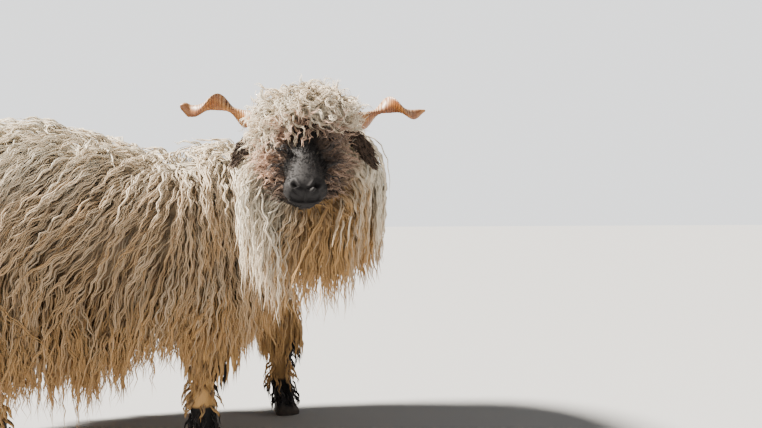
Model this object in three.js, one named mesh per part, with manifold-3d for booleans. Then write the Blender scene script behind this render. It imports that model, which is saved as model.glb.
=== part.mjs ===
// A valais blacknose sheep, standing with its head turned over its right shoulder.
// Millimetres, +Z up. The sheep faces +X, so its right flank is on the -Y side.
// Places are measured from the floor point midway between the forefeet until the last group moves them.
import * as THREE from 'three';
import Module from 'manifold-3d';
import { mergeVertices } from 'three/addons/utils/BufferGeometryUtils.js';

const wasm = await Module();
wasm.setup();

// Driving sizes
const gap = 0.3; // left between neighbouring parts
const roomGap = 0.8; // added all round a part to make the room that its neighbour leaves for it
const footSpread = 129; // from the middle plane to each leg
const frontStride = 116; // each forefoot ahead of or behind the shoulder
const foreTop = 486; // flat top of each foreleg, inside the chest
const hindTop = 405; // flat top of each hindleg, inside the trunk
const hoofTop = 48; // where the hoof ends and the pastern begins
const faceAt = [85, -504, 747]; // midway between the eyes
const faceTurn = -98.8; // heading of the face, in degrees from +X
const faceDroop = 38; // fall of the nose line, in degrees
const eyeSpan = 54; // from the middle of the face to each eye
const eyeRadius = 13;

// Planes that part the trunk from the neck and the neck from the head
const shoulderCut = { at: [75, 0, 600], facing: [0.97, -0.243, 0] };
const napeCut = { at: [128, -392, 742], facing: [-0.3, -0.93, 0.2] };

// Locks: length, width and thickness draws, depth of the root, side to side wave and the
// height over the core and share of the full width at each step down
const fleeceLook = {
  length: [175, 215],
  width: [66, 82],
  thick: [13, 18],
  sink: 18,
  wave: 7,
  sweep: [-0.25, 0, 0],
  parting: 0.55,
  lowest: -0.25,
  rises: [-18, 14, 26, 32, 30],
  taper: [0.75, 1, 0.9, 0.55],
};
const maneLook = { ...fleeceLook, length: [160, 200], width: [56, 72], sweep: [0, 0, 0], lowest: -Infinity };
const legLook = {
  ...fleeceLook,
  length: [85, 110],
  width: [40, 50],
  thick: [9, 12],
  sink: 10,
  wave: 4,
  parting: 0.3,
  lowest: -Infinity,
  rises: [-10, 6, 12, 13, 10],
};
const thighLook = { ...legLook, length: [140, 165], width: [46, 56] };
const featherLook = { ...legLook, length: [62, 76], width: [30, 38], sweep: [0, 0, 0] };

const colours = { wool: 0xd9cdb4, black: 0x26221f, horn: 0x9a6a3c, hoof: 0x2e2a26, eye: 0x3a2a16 };

function vector(list) {
  return new THREE.Vector3(...list);
}

// Repeatable draws between a low and a high value
function draws(seed) {
  let state = seed;
  return (low, high) => {
    state = (state * 1664525 + 1013904223) % 4294967296;
    return low + (high - low) * state / 4294967296;
  };
}

// A closed surface through rings of points, with a pole at each end
function skinOver(rings, first, last) {
  const sides = rings[0].length;
  const points = [first, ...rings.flat(), last];
  const faces = [];
  const end = points.length - 1;
  for (let i = 0; i < sides; i++) {
    const j = (i + 1) % sides;
    faces.push(0, 1 + j, 1 + i);
    faces.push(end, end - sides + i, end - sides + j);
  }
  for (let r = 0; r < rings.length - 1; r++) {
    for (let i = 0; i < sides; i++) {
      const j = (i + 1) % sides;
      const a = 1 + r * sides;
      faces.push(a + i, a + j, a + sides + j, a + i, a + sides + j, a + sides + i);
    }
  }
  const geometry = new THREE.BufferGeometry();
  geometry.setAttribute('position', new THREE.Float32BufferAttribute(points.flatMap((p) => p.toArray()), 3));
  geometry.setIndex(faces);
  return geometry;
}

// Turn a closed geometry into a solid, with its faces pointing out
function solidFrom(source) {
  const geometry = source.clone();
  geometry.deleteAttribute('normal');
  geometry.deleteAttribute('uv');
  const merged = mergeVertices(geometry, 1e-4);
  const places = merged.attributes.position.array;
  const triangles = Uint32Array.from(merged.index.array);
  if (signedVolume(places, triangles) < 0) {
    for (let i = 0; i < triangles.length; i += 3) {
      [triangles[i], triangles[i + 1]] = [triangles[i + 1], triangles[i]];
    }
  }
  const mesh = new wasm.Mesh({ numProp: 3, vertProperties: Float32Array.from(places), triVerts: triangles });
  mesh.merge();
  return new wasm.Manifold(mesh);
}

function signedVolume(places, triangles) {
  const corner = (i) => new THREE.Vector3().fromArray(places, 3 * triangles[i]);
  let volume = 0;
  for (let i = 0; i < triangles.length; i += 3) {
    volume += corner(i).dot(corner(i + 1).cross(corner(i + 2))) / 6;
  }
  return volume;
}

function geometryOf(solid) {
  const mesh = solid.getMesh();
  const geometry = new THREE.BufferGeometry();
  geometry.setAttribute('position', new THREE.BufferAttribute(new Float32Array(mesh.vertProperties), 3));
  geometry.setIndex(new THREE.BufferAttribute(new Uint32Array(mesh.triVerts), 1));
  geometry.computeVertexNormals();
  return geometry;
}

function joined(solids) {
  return solids.reduce((all, one) => all.add(one));
}

function largest(solid) {
  return solid.decompose().sort((a, b) => b.volume() - a.volume())[0];
}

// The half of space that a plane faces, moved off the plane by half of the gap
function halfSpace(cut, forward) {
  const reach = 3000;
  const facing = vector(cut.facing).normalize().multiplyScalar(forward ? 1 : -1);
  const box = new THREE.BoxGeometry(reach, reach, reach);
  box.translate(0, 0, reach / 2 + gap / 2);
  box.applyQuaternion(new THREE.Quaternion().setFromUnitVectors(new THREE.Vector3(0, 0, 1), facing));
  box.translate(...cut.at);
  return solidFrom(box);
}

// A form along a curve whose oval section follows its stations.
// Its sections lie across the share of the curve's direction that turning keeps.
class Form {
  constructor(stations, upward, squareness = 2, turning = [1, 1, 1]) {
    this.line = new THREE.CatmullRomCurve3(stations.map((s) => vector(s.at)));
    this.girth = new THREE.CatmullRomCurve3(stations.map((s) => new THREE.Vector3(s.wide, s.tall, 0)));
    this.upward = vector(upward);
    this.turning = vector(turning);
    this.squareness = squareness;
  }

  frame(t) {
    const at = this.line.getPoint(t);
    const along = this.line.getTangent(t).multiply(this.turning).normalize();
    const side = new THREE.Vector3().crossVectors(along, this.upward).normalize();
    const up = new THREE.Vector3().crossVectors(side, along).normalize();
    const girth = this.girth.getPoint(t);
    return { at, along, side, up, wide: girth.x, tall: girth.y };
  }

  surface(t, angle, extra = 0) {
    const f = this.frame(t);
    const bend = (value) => Math.sign(value) * Math.abs(value) ** (2 / this.squareness);
    return f.at.clone()
      .addScaledVector(f.side, bend(Math.cos(angle)) * (f.wide + extra))
      .addScaledVector(f.up, bend(Math.sin(angle)) * (f.tall + extra));
  }

  // How far a point is outside the section nearest to it, and the way out.
  // Below the lowest share of its height the section counts as an upright wall.
  outward(point, lowest = -Infinity) {
    this.sections ??= Array.from({ length: 61 }, (_, i) => this.frame(i / 60));
    const f = this.sections.reduce((best, one) => (
      one.at.distanceToSquared(point) < best.at.distanceToSquared(point) ? one : best));
    const offset = point.clone().sub(f.at);
    const a = offset.dot(f.side);
    const b = Math.max(offset.dot(f.up), lowest * f.tall);
    const reach = Math.hypot(a, b);
    const share = Math.hypot(a / f.wide, b / f.tall);
    const way = f.side.clone().multiplyScalar(a / f.wide ** 2).addScaledVector(f.up, b / f.tall ** 2);
    return { distance: reach - reach / share, way: way.normalize() };
  }

  geometry(steps, sides, extra = 0) {
    const rings = [];
    for (let i = 0; i <= steps; i++) {
      const ring = [];
      for (let k = 0; k < sides; k++) {
        ring.push(this.surface(i / steps, 2 * Math.PI * k / sides, extra));
      }
      rings.push(ring);
    }
    return skinOver(rings, this.line.getPoint(0), this.line.getPoint(1));
  }
}

// Station of a form given by its top and bottom heights
function station(x, y, top, bottom, wide) {
  return { at: [x, y, (top + bottom) / 2], wide, tall: (top - bottom) / 2 };
}

// The station of a core, half way in from the tips of the coat to the skin
function coreStation(outer, inset) {
  const [x, y, middle] = outer.at;
  return station(x, y, middle + outer.tall - inset.top, middle - outer.tall + inset.bottom, outer.wide - inset.side);
}

const down = new THREE.Vector3(0, 0, -1);

// One flat tapered lock: rooted in the core, then lying along it and hanging free below it
function lockSolid(form, root, look, draw) {
  const start = form.surface(root.t, root.angle);
  const away = form.outward(start).way;
  const comb = down.clone().add(vector(look.sweep)).addScaledVector(away.clone().setZ(0), look.parting);
  const length = root.length ?? draw(...look.length);
  const width = draw(...look.width) / 2;
  const thick = draw(...look.thick);
  const waveAt = draw(0, 2 * Math.PI);
  const steps = look.rises.length;
  const point = start.clone().addScaledVector(away, -look.sink);
  const rings = [];
  let tip = point;
  for (let i = 0; i < steps; i++) {
    const { distance, way } = form.outward(point, look.lowest);
    const outwards = way.clone().setZ(Math.max(way.z, 0)).normalize();
    const along = comb.clone().addScaledVector(outwards, -comb.dot(outwards)).normalize();
    const across = new THREE.Vector3().crossVectors(along, outwards).normalize();
    if (i > 0 && distance < look.rises[i]) {
      point.addScaledVector(outwards, look.rises[i] - distance);
    }
    const wave = look.wave * Math.sin(waveAt + 2.2 * i) * Math.min(i, 1);
    const middle = point.clone().addScaledVector(across, wave);
    tip = middle;
    if (i < steps - 1) {
      const half = width * look.taper[i];
      rings.push([
        middle.clone().addScaledVector(across, -half),
        middle.clone().addScaledVector(across, half),
        middle.clone().addScaledVector(outwards, thick * look.taper[i]),
      ]);
    }
    point.addScaledVector(along, length / (steps - 1));
  }
  const base = rings[0][0].clone().add(rings[0][1]).add(rings[0][2]).divideScalar(3);
  return solidFrom(skinOver(rings, base, tip));
}

// Rows of locks set over a form, each row moved along by half a lock
function lockRows(form, rows, look, seed) {
  const draw = draws(seed);
  const locks = [];
  rows.forEach((row, r) => {
    for (let i = 0; i < row.count; i++) {
      const share = (i + (r % 2 ? 0.5 : 0) + draw(-0.18, 0.18)) / row.count;
      const t = row.from + (row.to - row.from) * share;
      const angle = THREE.MathUtils.degToRad(row.angle + draw(-4, 4));
      const at = form.surface(t, angle);
      const length = row.hem && Math.max(60, (at.z - row.hem(at) + draw(-14, 14)));
      const sweep = row.sweep ? row.sweep(at) : look.sweep;
      locks.push(lockSolid(form, { t, angle, length }, { ...look, sweep }, draw));
    }
  });
  return locks;
}

// Outline of the trunk with its fleece, from the rump to past the shoulder
const trunkOutline = [
  station(-800, 0, 700, 520, 60),
  station(-775, 0, 765, 420, 130),
  station(-700, 0, 825, 290, 205),
  station(-580, 0, 846, 240, 240),
  station(-440, 0, 822, 215, 250),
  station(-320, 0, 793, 220, 250),
  station(-210, 0, 778, 250, 246),
  station(-80, 0, 795, 275, 235),
  station(40, 0, 815, 300, 222),
  station(150, 0, 780, 380, 180),
  station(200, 0, 720, 440, 110),
];
const trunkInset = { top: 34, bottom: 100, side: 40 };
const trunk = new Form(trunkOutline.map((s) => coreStation(s, trunkInset)), [0, 0, 1], 2.2, [1, 0, 0]);

// Outline of the neck with its mane, leaving the shoulder forwards and bending round to the right
const neckOutline = [
  station(0, 0, 800, 400, 200),
  station(95, -25, 825, 385, 215),
  station(165, -85, 832, 405, 185),
  station(195, -175, 840, 440, 152),
  station(180, -270, 845, 480, 138),
  station(145, -350, 845, 520, 128),
  station(100, -430, 840, 560, 110),
];
const neckInset = { top: 34, bottom: 95, side: 38 };
const neck = new Form(neckOutline.map((s) => coreStation(s, neckInset)), [0, 0, 1], 2, [1, 1, 0]);

// Height of the hem of the fleece along the trunk, and of the mane round the neck
function trunkHem(at) {
  const outline = trunkOutline.map((s) => ({ x: s.at[0], low: s.at[2] - s.tall }));
  const next = Math.max(1, outline.findIndex((s) => s.x > at.x));
  const [a, b] = [outline[next - 1], outline[next]];
  return a.low + (b.low - a.low) * (at.x - a.x) / (b.x - a.x);
}

function neckHem(at) {
  const share = THREE.MathUtils.clamp((-at.y - 25) / 325, 0, 1);
  return 390 + 135 * share ** 1.2;
}

// Legs are given from their top down: place, half width across and half width fore and aft
function foreleg(side, stride) {
  const y = side * footSpread;
  const lean = (share) => stride * share;
  return {
    stations: [
      { at: [lean(0.4), y - 14 * side, foreTop + 30], wide: 50, tall: 66 },
      { at: [lean(0.58), y - 4 * side, 370], wide: 56, tall: 66 },
      { at: [lean(0.9), y, 270], wide: 54, tall: 58 },
      { at: [lean(0.97), y, 205], wide: 42, tall: 44 },
      { at: [lean(1) - 4, y, 160], wide: 30, tall: 32 },
      { at: [lean(1) - 8, y, 110], wide: 32, tall: 36 },
      { at: [lean(1), y, 70], wide: 31, tall: 34 },
      { at: [lean(1) + 6, y, 20], wide: 30, tall: 34 },
    ],
    hoofAt: [lean(1) + 6, y],
    top: foreTop,
  };
}

function hindleg(side, x) {
  const y = side * footSpread;
  return {
    stations: [
      { at: [x + 55, y, hindTop + 30], wide: 64, tall: 100 },
      { at: [x + 30, y, 350], wide: 62, tall: 90 },
      { at: [x - 20, y, 280], wide: 54, tall: 68 },
      { at: [x - 28, y, 215], wide: 42, tall: 50 },
      { at: [x - 22, y, 160], wide: 31, tall: 36 },
      { at: [x - 14, y, 110], wide: 32, tall: 36 },
      { at: [x - 4, y, 70], wide: 31, tall: 34 },
      { at: [x, y, 20], wide: 30, tall: 34 },
    ],
    hoofAt: [x, y],
    top: hindTop,
  };
}

const legs = {
  foreleg_right: foreleg(-1, -frontStride),
  foreleg_left: foreleg(1, frontStride),
  hindleg_right: hindleg(-1, -600),
  hindleg_left: hindleg(1, -690),
};

function slab(low, high) {
  const box = new THREE.BoxGeometry(3000, 3000, high - low);
  box.translate(0, 0, (low + high) / 2);
  return solidFrom(box);
}

function upright(stations) {
  return new Form(stations, [1, 0, 0], 2, [0, 0, 1]);
}

// The room kept for a leg and its wool under the fleece, tight where the leg enters the trunk
function legRoom(leg) {
  const wool = [2, 2, 24, 30, 34, 34, 34, 34];
  const stations = leg.stations.map((s, i) => ({ at: s.at, wide: s.wide + wool[i], tall: s.tall + wool[i] }));
  return solidFrom(upright(stations).geometry(8, 8)).intersect(slab(0, leg.top));
}

// A leg half way out to the tips of its wool, with locks above the knee and over the foot
function legSolid(leg, look, seed) {
  const core = upright(leg.stations);
  const rings = [[0.3, [10, 100, 190, 280]], [0.48, [40, 160, 280]]];
  const rows = rings.flatMap(([t, angles]) => angles.map((angle) => ({ angle, from: t, to: t, count: 1 })));
  const feather = [90, 210, 330].map((angle) => ({ angle, from: 0.68, to: 0.68, count: 1 }));
  const locks = [...lockRows(core, rows, look, seed), ...lockRows(core, feather, featherLook, seed + 1)];
  return joined([solidFrom(core.geometry(8, 8)), ...locks]).intersect(slab(hoofTop + gap, leg.top - gap));
}

// One claw of a hoof, standing flat on its sole
function clawGeometry(side) {
  const levels = [
    { z: 0, length: 37, width: 15.5, shift: 6 },
    { z: 12, length: 37, width: 16, shift: 5 },
    { z: hoofTop, length: 27, width: 14.5, shift: -4 },
  ];
  const rings = levels.map((level) => {
    const ring = [];
    for (let k = 0; k < 8; k++) {
      const angle = 2 * Math.PI * (k + 0.5) / 8;
      const narrow = 1 - 0.18 * Math.cos(angle);
      ring.push(new THREE.Vector3(
        level.shift + level.length * Math.cos(angle),
        side * 17 + level.width * narrow * Math.sin(angle),
        level.z,
      ));
    }
    return ring;
  });
  const pole = (level) => new THREE.Vector3(level.shift, side * 17, level.z);
  return skinOver(rings, pole(levels[0]), pole(levels.at(-1)));
}

// Both claws of a foot, with the block that joins them above the cleft
function hoofSolid(leg) {
  const block = new THREE.BoxGeometry(34, 36, 26);
  block.translate(-8, 0, hoofTop - 13);
  const foot = joined([solidFrom(clawGeometry(-1)), solidFrom(clawGeometry(1)), solidFrom(block)]);
  const mesh = geometryOf(foot);
  mesh.translate(leg.hoofAt[0], leg.hoofAt[1], 0);
  return solidFrom(mesh);
}

// Placement of the head: x runs down the nose, y to its left and z out of the forehead
const headPlace = new THREE.Matrix4()
  .makeTranslation(...faceAt)
  .multiply(new THREE.Matrix4().makeRotationZ(THREE.MathUtils.degToRad(faceTurn)))
  .multiply(new THREE.Matrix4().makeRotationY(THREE.MathUtils.degToRad(faceDroop)));

function onHead(geometry) {
  return solidFrom(geometry.applyMatrix4(headPlace));
}

function ball(at, radii, wide = 12, tall = 8) {
  const geometry = new THREE.SphereGeometry(1, wide, tall);
  geometry.scale(...radii);
  geometry.translate(...at);
  return geometry;
}

// Skull, face and jaws, seen along the nose from the nape to the lips
const face = new Form([
  { at: [-150, 0, -20], wide: 60, tall: 60 },
  { at: [-105, 0, -6], wide: 64, tall: 66 },
  { at: [-60, 0, -6], wide: 66, tall: 70 },
  { at: [-15, 0, -14], wide: 62, tall: 66 },
  { at: [30, 0, -22], wide: 50, tall: 56 },
  { at: [75, 0, -20], wide: 40, tall: 44 },
  { at: [112, 0, -14], wide: 39, tall: 38 },
  { at: [142, 0, -14], wide: 44, tall: 38 },
  { at: [162, 0, -16], wide: 38, tall: 31 },
  { at: [170, 0, -16], wide: 24, tall: 18 },
], [0, 0, 1], 2.2);

// Rounded clump of curls, pressed flat towards the head
function clumpSolid(at, radius, away) {
  const geometry = new THREE.SphereGeometry(radius, 6, 4);
  geometry.scale(1, 1, 0.8);
  geometry.applyQuaternion(new THREE.Quaternion().setFromUnitVectors(new THREE.Vector3(0, 0, 1), away));
  geometry.translate(...at.toArray());
  return onHead(geometry);
}

// Clumps set close over an oval mass of wool, in rings from its top down
function clumps(mass, seed) {
  const draw = draws(seed);
  const set = [];
  for (const ring of mass.rings) {
    const count = Math.max(1, Math.round(ring.count));
    for (let i = 0; i < count; i++) {
      const turn = 2 * Math.PI * (i + ring.turn + draw(-0.12, 0.12)) / count;
      const fall = THREE.MathUtils.degToRad(ring.fall + draw(-3, 3));
      const away = new THREE.Vector3(
        Math.sin(fall) * Math.cos(turn),
        Math.sin(fall) * Math.sin(turn),
        Math.cos(fall),
      );
      const at = away.clone().multiply(vector(mass.radii)).add(vector(mass.at));
      const nearEye = [-1, 1].some((side) => at.distanceTo(new THREE.Vector3(10, side * eyeSpan, 6)) < mass.clear);
      if (!nearEye) set.push(clumpSolid(at, draw(...mass.size), away));
    }
  }
  return set;
}

const topknot = {
  at: [-62, 0, 18],
  radii: [66, 88, 70],
  size: [30, 36],
  clear: 36,
  rings: [
    { fall: 8, count: 1, turn: 0 },
    { fall: 38, count: 5, turn: 0.3 },
    { fall: 66, count: 6, turn: 0 },
    { fall: 92, count: 7, turn: 0.5 },
  ],
};
const cheekWool = {
  at: [-36, 0, -40],
  radii: [58, 66, 48],
  size: [23, 28],
  clear: 34,
  rings: [
    { fall: 94, count: 7, turn: 0.5 },
    { fall: 130, count: 5, turn: 0 },
  ],
};

// Line of the mouth: a thin level slot that goes a little way into the lips all round the muzzle
function mouthCut() {
  const plate = new THREE.BoxGeometry(76, 120, 2.2);
  plate.rotateY(THREE.MathUtils.degToRad(-4));
  plate.translate(140, 0, -35);
  return onHead(plate).subtract(onHead(face.geometry(11, 12, -5)));
}

function nostrilCut(side) {
  const slot = new THREE.SphereGeometry(1, 6, 4);
  slot.scale(9, 8.5, 3.2);
  slot.rotateX(THREE.MathUtils.degToRad(side * 38));
  slot.translate(165, side * 15, -6);
  return onHead(slot);
}

function lipGroove() {
  const groove = new THREE.BoxGeometry(14, 1.6, 22);
  groove.translate(171, 0, -26);
  return onHead(groove);
}

// Lids: a shell round the eye, open along an almond slit
function lidSolid(side) {
  return onHead(ball([2, side * eyeSpan, 8], [eyeRadius + 4, eyeRadius + 3, eyeRadius + 3.5], 8, 6));
}

function lidSlit(side) {
  const slit = new THREE.SphereGeometry(1, 7, 4);
  slit.scale(13, 11, 7.5);
  slit.rotateY(THREE.MathUtils.degToRad(14));
  slit.translate(4, side * (eyeSpan + 9), 8);
  return onHead(slit);
}

function headSolid() {
  const core = [
    onHead(face.geometry(11, 12)),
    onHead(ball([-62, 0, 18], [70, 92, 72], 8, 6)),
    onHead(ball([-36, 0, -40], [60, 68, 50], 8, 6)),
  ];
  const lids = [-1, 1].map(lidSolid);
  const wool = [...clumps(topknot, 5), ...clumps(cheekWool, 6)];
  const cuts = [mouthCut(), lipGroove(), ...[-1, 1].flatMap((side) => [nostrilCut(side), lidSlit(side)])];
  return joined([...core, ...wool, ...lids]).subtract(joined(cuts));
}

// Ear: a leaf hollowed on its front, hanging out and down from the side of the head
function earSolid(side, extra = 0) {
  const path = new THREE.CatmullRomCurve3([
    new THREE.Vector3(-80, side * 62, 8),
    new THREE.Vector3(-78, side * 86, -12),
    new THREE.Vector3(-74, side * 108, -30),
    new THREE.Vector3(-68, side * 128, -52),
    new THREE.Vector3(-60, side * 146, -74),
    new THREE.Vector3(-55, side * 157, -89),
  ]);
  const halfWidths = new THREE.CatmullRomCurve3([10, 15, 20, 21, 15, 5].map((w) => new THREE.Vector3(w, 0, 0)));
  const steps = 7;
  const rings = [];
  for (let i = 0; i <= steps; i++) {
    const t = i / steps;
    const along = path.getTangent(t);
    const at = path.getPoint(t).addScaledVector(along, i === 0 ? -extra : 0);
    const facing = new THREE.Vector3(0.55, 0.75 * side, 0.1);
    facing.addScaledVector(along, -facing.dot(along)).normalize();
    const across = new THREE.Vector3().crossVectors(along, facing);
    const half = halfWidths.getPoint(t).x + extra;
    const cup = 0.42 * half;
    const thick = 3.2 + extra;
    const rim = (share, height) => at.clone()
      .addScaledVector(across, half * share)
      .addScaledVector(facing, cup * share ** 2 + height);
    const back = [-1, -0.6, 0, 0.6, 1].map((share) => rim(share, -thick * (1.2 - 0.5 * share ** 2)));
    const front = [0.8, 0.4, 0, -0.4, -0.8].map((share) => rim(share, thick * 0.5));
    rings.push([...back, ...front]);
  }
  const centre = (ring) => ring.reduce((sum, p) => sum.add(p), new THREE.Vector3()).divideScalar(ring.length);
  return onHead(skinOver(rings, centre(rings[0]), centre(rings[steps])));
}

// Stations of a horn: run out from the middle of the head, height, radius of its coil,
// half breadth and half thickness
const hornStations = [
  { run: 20, height: 816, coil: 8, broad: 16, thin: 13 },
  { run: 62, height: 820, coil: 13, broad: 17, thin: 12 },
  { run: 104, height: 825, coil: 17, broad: 18.5, thin: 10 },
  { run: 146, height: 830, coil: 17, broad: 18, thin: 9 },
  { run: 188, height: 833, coil: 15, broad: 17.5, thin: 7 },
  { run: 230, height: 835, coil: 11, broad: 11.5, thin: 5.5 },
  { run: 258, height: 836, coil: 7, broad: 9, thin: 4 },
  { run: 272, height: 837, coil: 3, broad: 4, thin: 2 },
];
const hornRoot = [97, -425]; // on the middle plane of the head, behind the ears
const hornPitch = 117; // run of one turn of the corkscrew
const hornCrest = 190; // run at which the visible crest stands up

// Corkscrew horn: a flat section that turns edge on and broadside as it runs out sideways
function hornSolid(side, extra = 0) {
  const line = new THREE.CatmullRomCurve3(hornStations.map((s) => new THREE.Vector3(s.run, s.height, s.coil)));
  const girth = new THREE.CatmullRomCurve3(hornStations.map((s) => new THREE.Vector3(s.broad, s.thin, 0)));
  const across = new THREE.Vector3(0.988, -0.1535, 0).multiplyScalar(side);
  const back = new THREE.Vector3(0.1535, 0.988, 0);
  const up = new THREE.Vector3(0, 0, 1);
  const steps = 24;
  const sides = 8;
  const rings = [];
  const spine = [];
  for (let i = 0; i <= steps; i++) {
    const { x: run, y: height, z: coil } = line.getPoint(i / steps);
    const { x: broad, y: thin } = girth.getPoint(i / steps);
    const phase = Math.PI / 2 + 2 * Math.PI * (run - hornCrest) / hornPitch;
    const centre = new THREE.Vector3(...hornRoot, height)
      .addScaledVector(across, run)
      .addScaledVector(up, coil * Math.sin(phase))
      .addScaledVector(back, coil * Math.cos(phase));
    const ring = [];
    for (let k = 0; k < sides; k++) {
      const angle = 2 * Math.PI * k / sides;
      const a = (broad + extra) * Math.cos(angle);
      const b = (thin + extra) * Math.sin(angle);
      ring.push(centre.clone()
        .addScaledVector(up, a * Math.sin(phase) + b * Math.cos(phase))
        .addScaledVector(back, a * Math.cos(phase) - b * Math.sin(phase)));
    }
    rings.push(ring);
    spine.push(centre);
  }
  const root = spine[0].clone().addScaledVector(across, -5 * extra);
  return solidFrom(skinOver(rings, root, spine[steps].clone().addScaledVector(across, 3)));
}

const tailStations = [
  { at: [-730, 0, 768], wide: 22, tall: 18 },
  { at: [-776, 0, 752], wide: 26, tall: 21 },
  { at: [-812, 0, 706], wide: 28, tall: 22 },
  { at: [-832, 0, 610], wide: 28, tall: 22 },
  { at: [-842, 0, 500], wide: 24, tall: 19 },
  { at: [-844, 0, 430], wide: 12, tall: 10 },
];
const tail = new Form(tailStations, [1, 0, 0]);
const tailWool = [roomGap, 4, 26, 30, 34, 46]; // furthest that its locks reach at each station
const tailRoom = new Form(
  tailStations.map((s, i) => ({ at: s.at, wide: s.wide + tailWool[i], tall: s.tall + tailWool[i] })),
  [1, 0, 0],
);
const tailLook = {
  ...fleeceLook,
  length: [135, 160],
  width: [42, 50],
  thick: [9, 12],
  sink: 9,
  wave: 4,
  sweep: [0, 0, 0],
  parting: 0.15,
  lowest: -Infinity,
  rises: [-9, 8, 12, 13, 11],
};

function tailSolid() {
  const rows = [45, 135, 225, 315].map((angle) => ({ angle, from: 0.36, to: 1, count: 2 }));
  return joined([solidFrom(tail.geometry(9, 8)), ...lockRows(tail, rows, tailLook, 31)]);
}

function eyeSolid(side, extra = 0) {
  const radius = eyeRadius + extra;
  return onHead(ball([2, side * eyeSpan, 8], [radius, radius, radius], 8, 6));
}

// Solids of every part, each cut clear of its neighbours
const parts = [];

function addPart(name, solid, colour, roughness) {
  const material = new THREE.MeshStandardMaterial({ color: colour, roughness, metalness: 0 });
  const mesh = new THREE.Mesh(geometryOf(largest(solid)), material);
  mesh.name = name;
  parts.push(mesh);
}

const legRooms = joined(Object.values(legs).map(legRoom));
const tailNode = tailSolid();

// Rows run from the top of the back down to the hem, alike on both sides
function trunkRows() {
  const ramp = THREE.MathUtils.smoothstep;
  const lean = (at) => [-0.6 * ramp(-at.x, 120, 520) * (1 - ramp(-at.x, 600, 720)), 0, 0];
  const rows = [];
  for (const half of [(angle) => angle, (angle) => 180 - angle]) {
    rows.push({ angle: half(-30), from: 0.1, to: 0.86, count: 10, hem: trunkHem, sweep: lean });
    rows.push({ angle: half(4), from: 0.07, to: 0.86, count: 10, sweep: lean });
    rows.push({ angle: half(34), from: 0.06, to: 0.86, count: 10, sweep: lean });
    rows.push({ angle: half(60), from: 0.06, to: 0.88, count: 10, sweep: lean });
    rows.push({ angle: half(82), from: 0.05, to: 0.88, count: 6, sweep: lean });
  }
  return rows;
}

function neckRows() {
  const rows = [];
  for (const [half, count] of [[(angle) => angle, 3], [(angle) => 180 - angle, 6]]) {
    rows.push({ angle: half(-38), from: 0.17, to: 0.93, count, hem: neckHem });
    rows.push({ angle: half(0), from: 0.17, to: 0.93, count });
    rows.push({ angle: half(34), from: 0.17, to: 0.93, count });
    rows.push({ angle: half(66), from: 0.17, to: 0.93, count });
  }
  rows.push({ angle: 83, from: 0.17, to: 0.95, count: 4 });
  rows.push({ angle: 97, from: 0.25, to: 0.95, count: 3 });
  rows.push({ angle: -90, from: 0.3, to: 0.95, count: 3, hem: neckHem });
  return rows;
}

const torso = joined([solidFrom(trunk.geometry(16, 18)), ...lockRows(trunk, trunkRows(), fleeceLook, 11)])
  .intersect(halfSpace(shoulderCut, false))
  .subtract(legRooms)
  .subtract(solidFrom(tailRoom.geometry(9, 8)));
addPart('torso', torso, colours.wool, 0.9);
addPart('tail', tailNode, colours.wool, 0.9);

const neckSolid = joined([solidFrom(neck.geometry(13, 16)), ...lockRows(neck, neckRows(), maneLook, 21)])
  .intersect(halfSpace(shoulderCut, true))
  .intersect(halfSpace(napeCut, false))
  .subtract(legRooms);

const sideNames = { '-1': 'right', 1: 'left' };
let head = headSolid().intersect(halfSpace(napeCut, true));
for (const side of [-1, 1]) {
  const rooms = [hornSolid(side, 2 * roomGap), earSolid(side, 2 * roomGap), eyeSolid(side, roomGap)];
  head = head.subtract(joined(rooms));
}
addPart('neck', neckSolid, colours.wool, 0.9);
addPart('head', head, colours.black, 0.8);
for (const side of [-1, 1]) {
  const name = sideNames[side];
  addPart('horn_' + name, hornSolid(side), colours.horn, 0.5);
  addPart('ear_' + name, earSolid(side), colours.black, 0.8);
  addPart('eye_' + name, eyeSolid(side), colours.eye, 0.2);
}

for (const [name, leg] of Object.entries(legs)) {
  const look = name.startsWith('hind') ? thighLook : legLook;
  addPart(name, legSolid(leg, look, 41), colours.wool, 0.9);
  addPart(name.replace('leg', 'hoof'), hoofSolid(leg), colours.hoof, 0.6);
}

const sheep = new THREE.Group();
sheep.add(...parts);
const bounds = new THREE.Box3().setFromObject(sheep, true);
const middle = bounds.getCenter(new THREE.Vector3());
sheep.position.set(-Math.round(middle.x), -Math.round(middle.y), 0);
export default sheep;
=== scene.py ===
import math

import bpy
import numpy as np
from mathutils import Matrix, Vector


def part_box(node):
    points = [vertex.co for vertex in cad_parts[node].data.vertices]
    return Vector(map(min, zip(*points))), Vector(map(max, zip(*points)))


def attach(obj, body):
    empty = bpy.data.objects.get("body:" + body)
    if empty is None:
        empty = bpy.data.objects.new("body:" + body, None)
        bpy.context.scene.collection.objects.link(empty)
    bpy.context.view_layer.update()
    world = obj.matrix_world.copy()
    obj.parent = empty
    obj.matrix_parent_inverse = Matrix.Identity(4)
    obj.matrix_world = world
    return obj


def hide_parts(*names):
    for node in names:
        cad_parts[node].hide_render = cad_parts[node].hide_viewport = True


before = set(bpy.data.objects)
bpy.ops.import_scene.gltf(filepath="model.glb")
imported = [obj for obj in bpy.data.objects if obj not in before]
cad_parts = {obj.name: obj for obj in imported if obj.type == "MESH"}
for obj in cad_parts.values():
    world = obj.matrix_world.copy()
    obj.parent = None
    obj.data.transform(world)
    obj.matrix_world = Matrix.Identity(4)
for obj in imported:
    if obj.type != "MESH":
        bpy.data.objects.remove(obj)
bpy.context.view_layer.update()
print("frame loaded")

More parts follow.
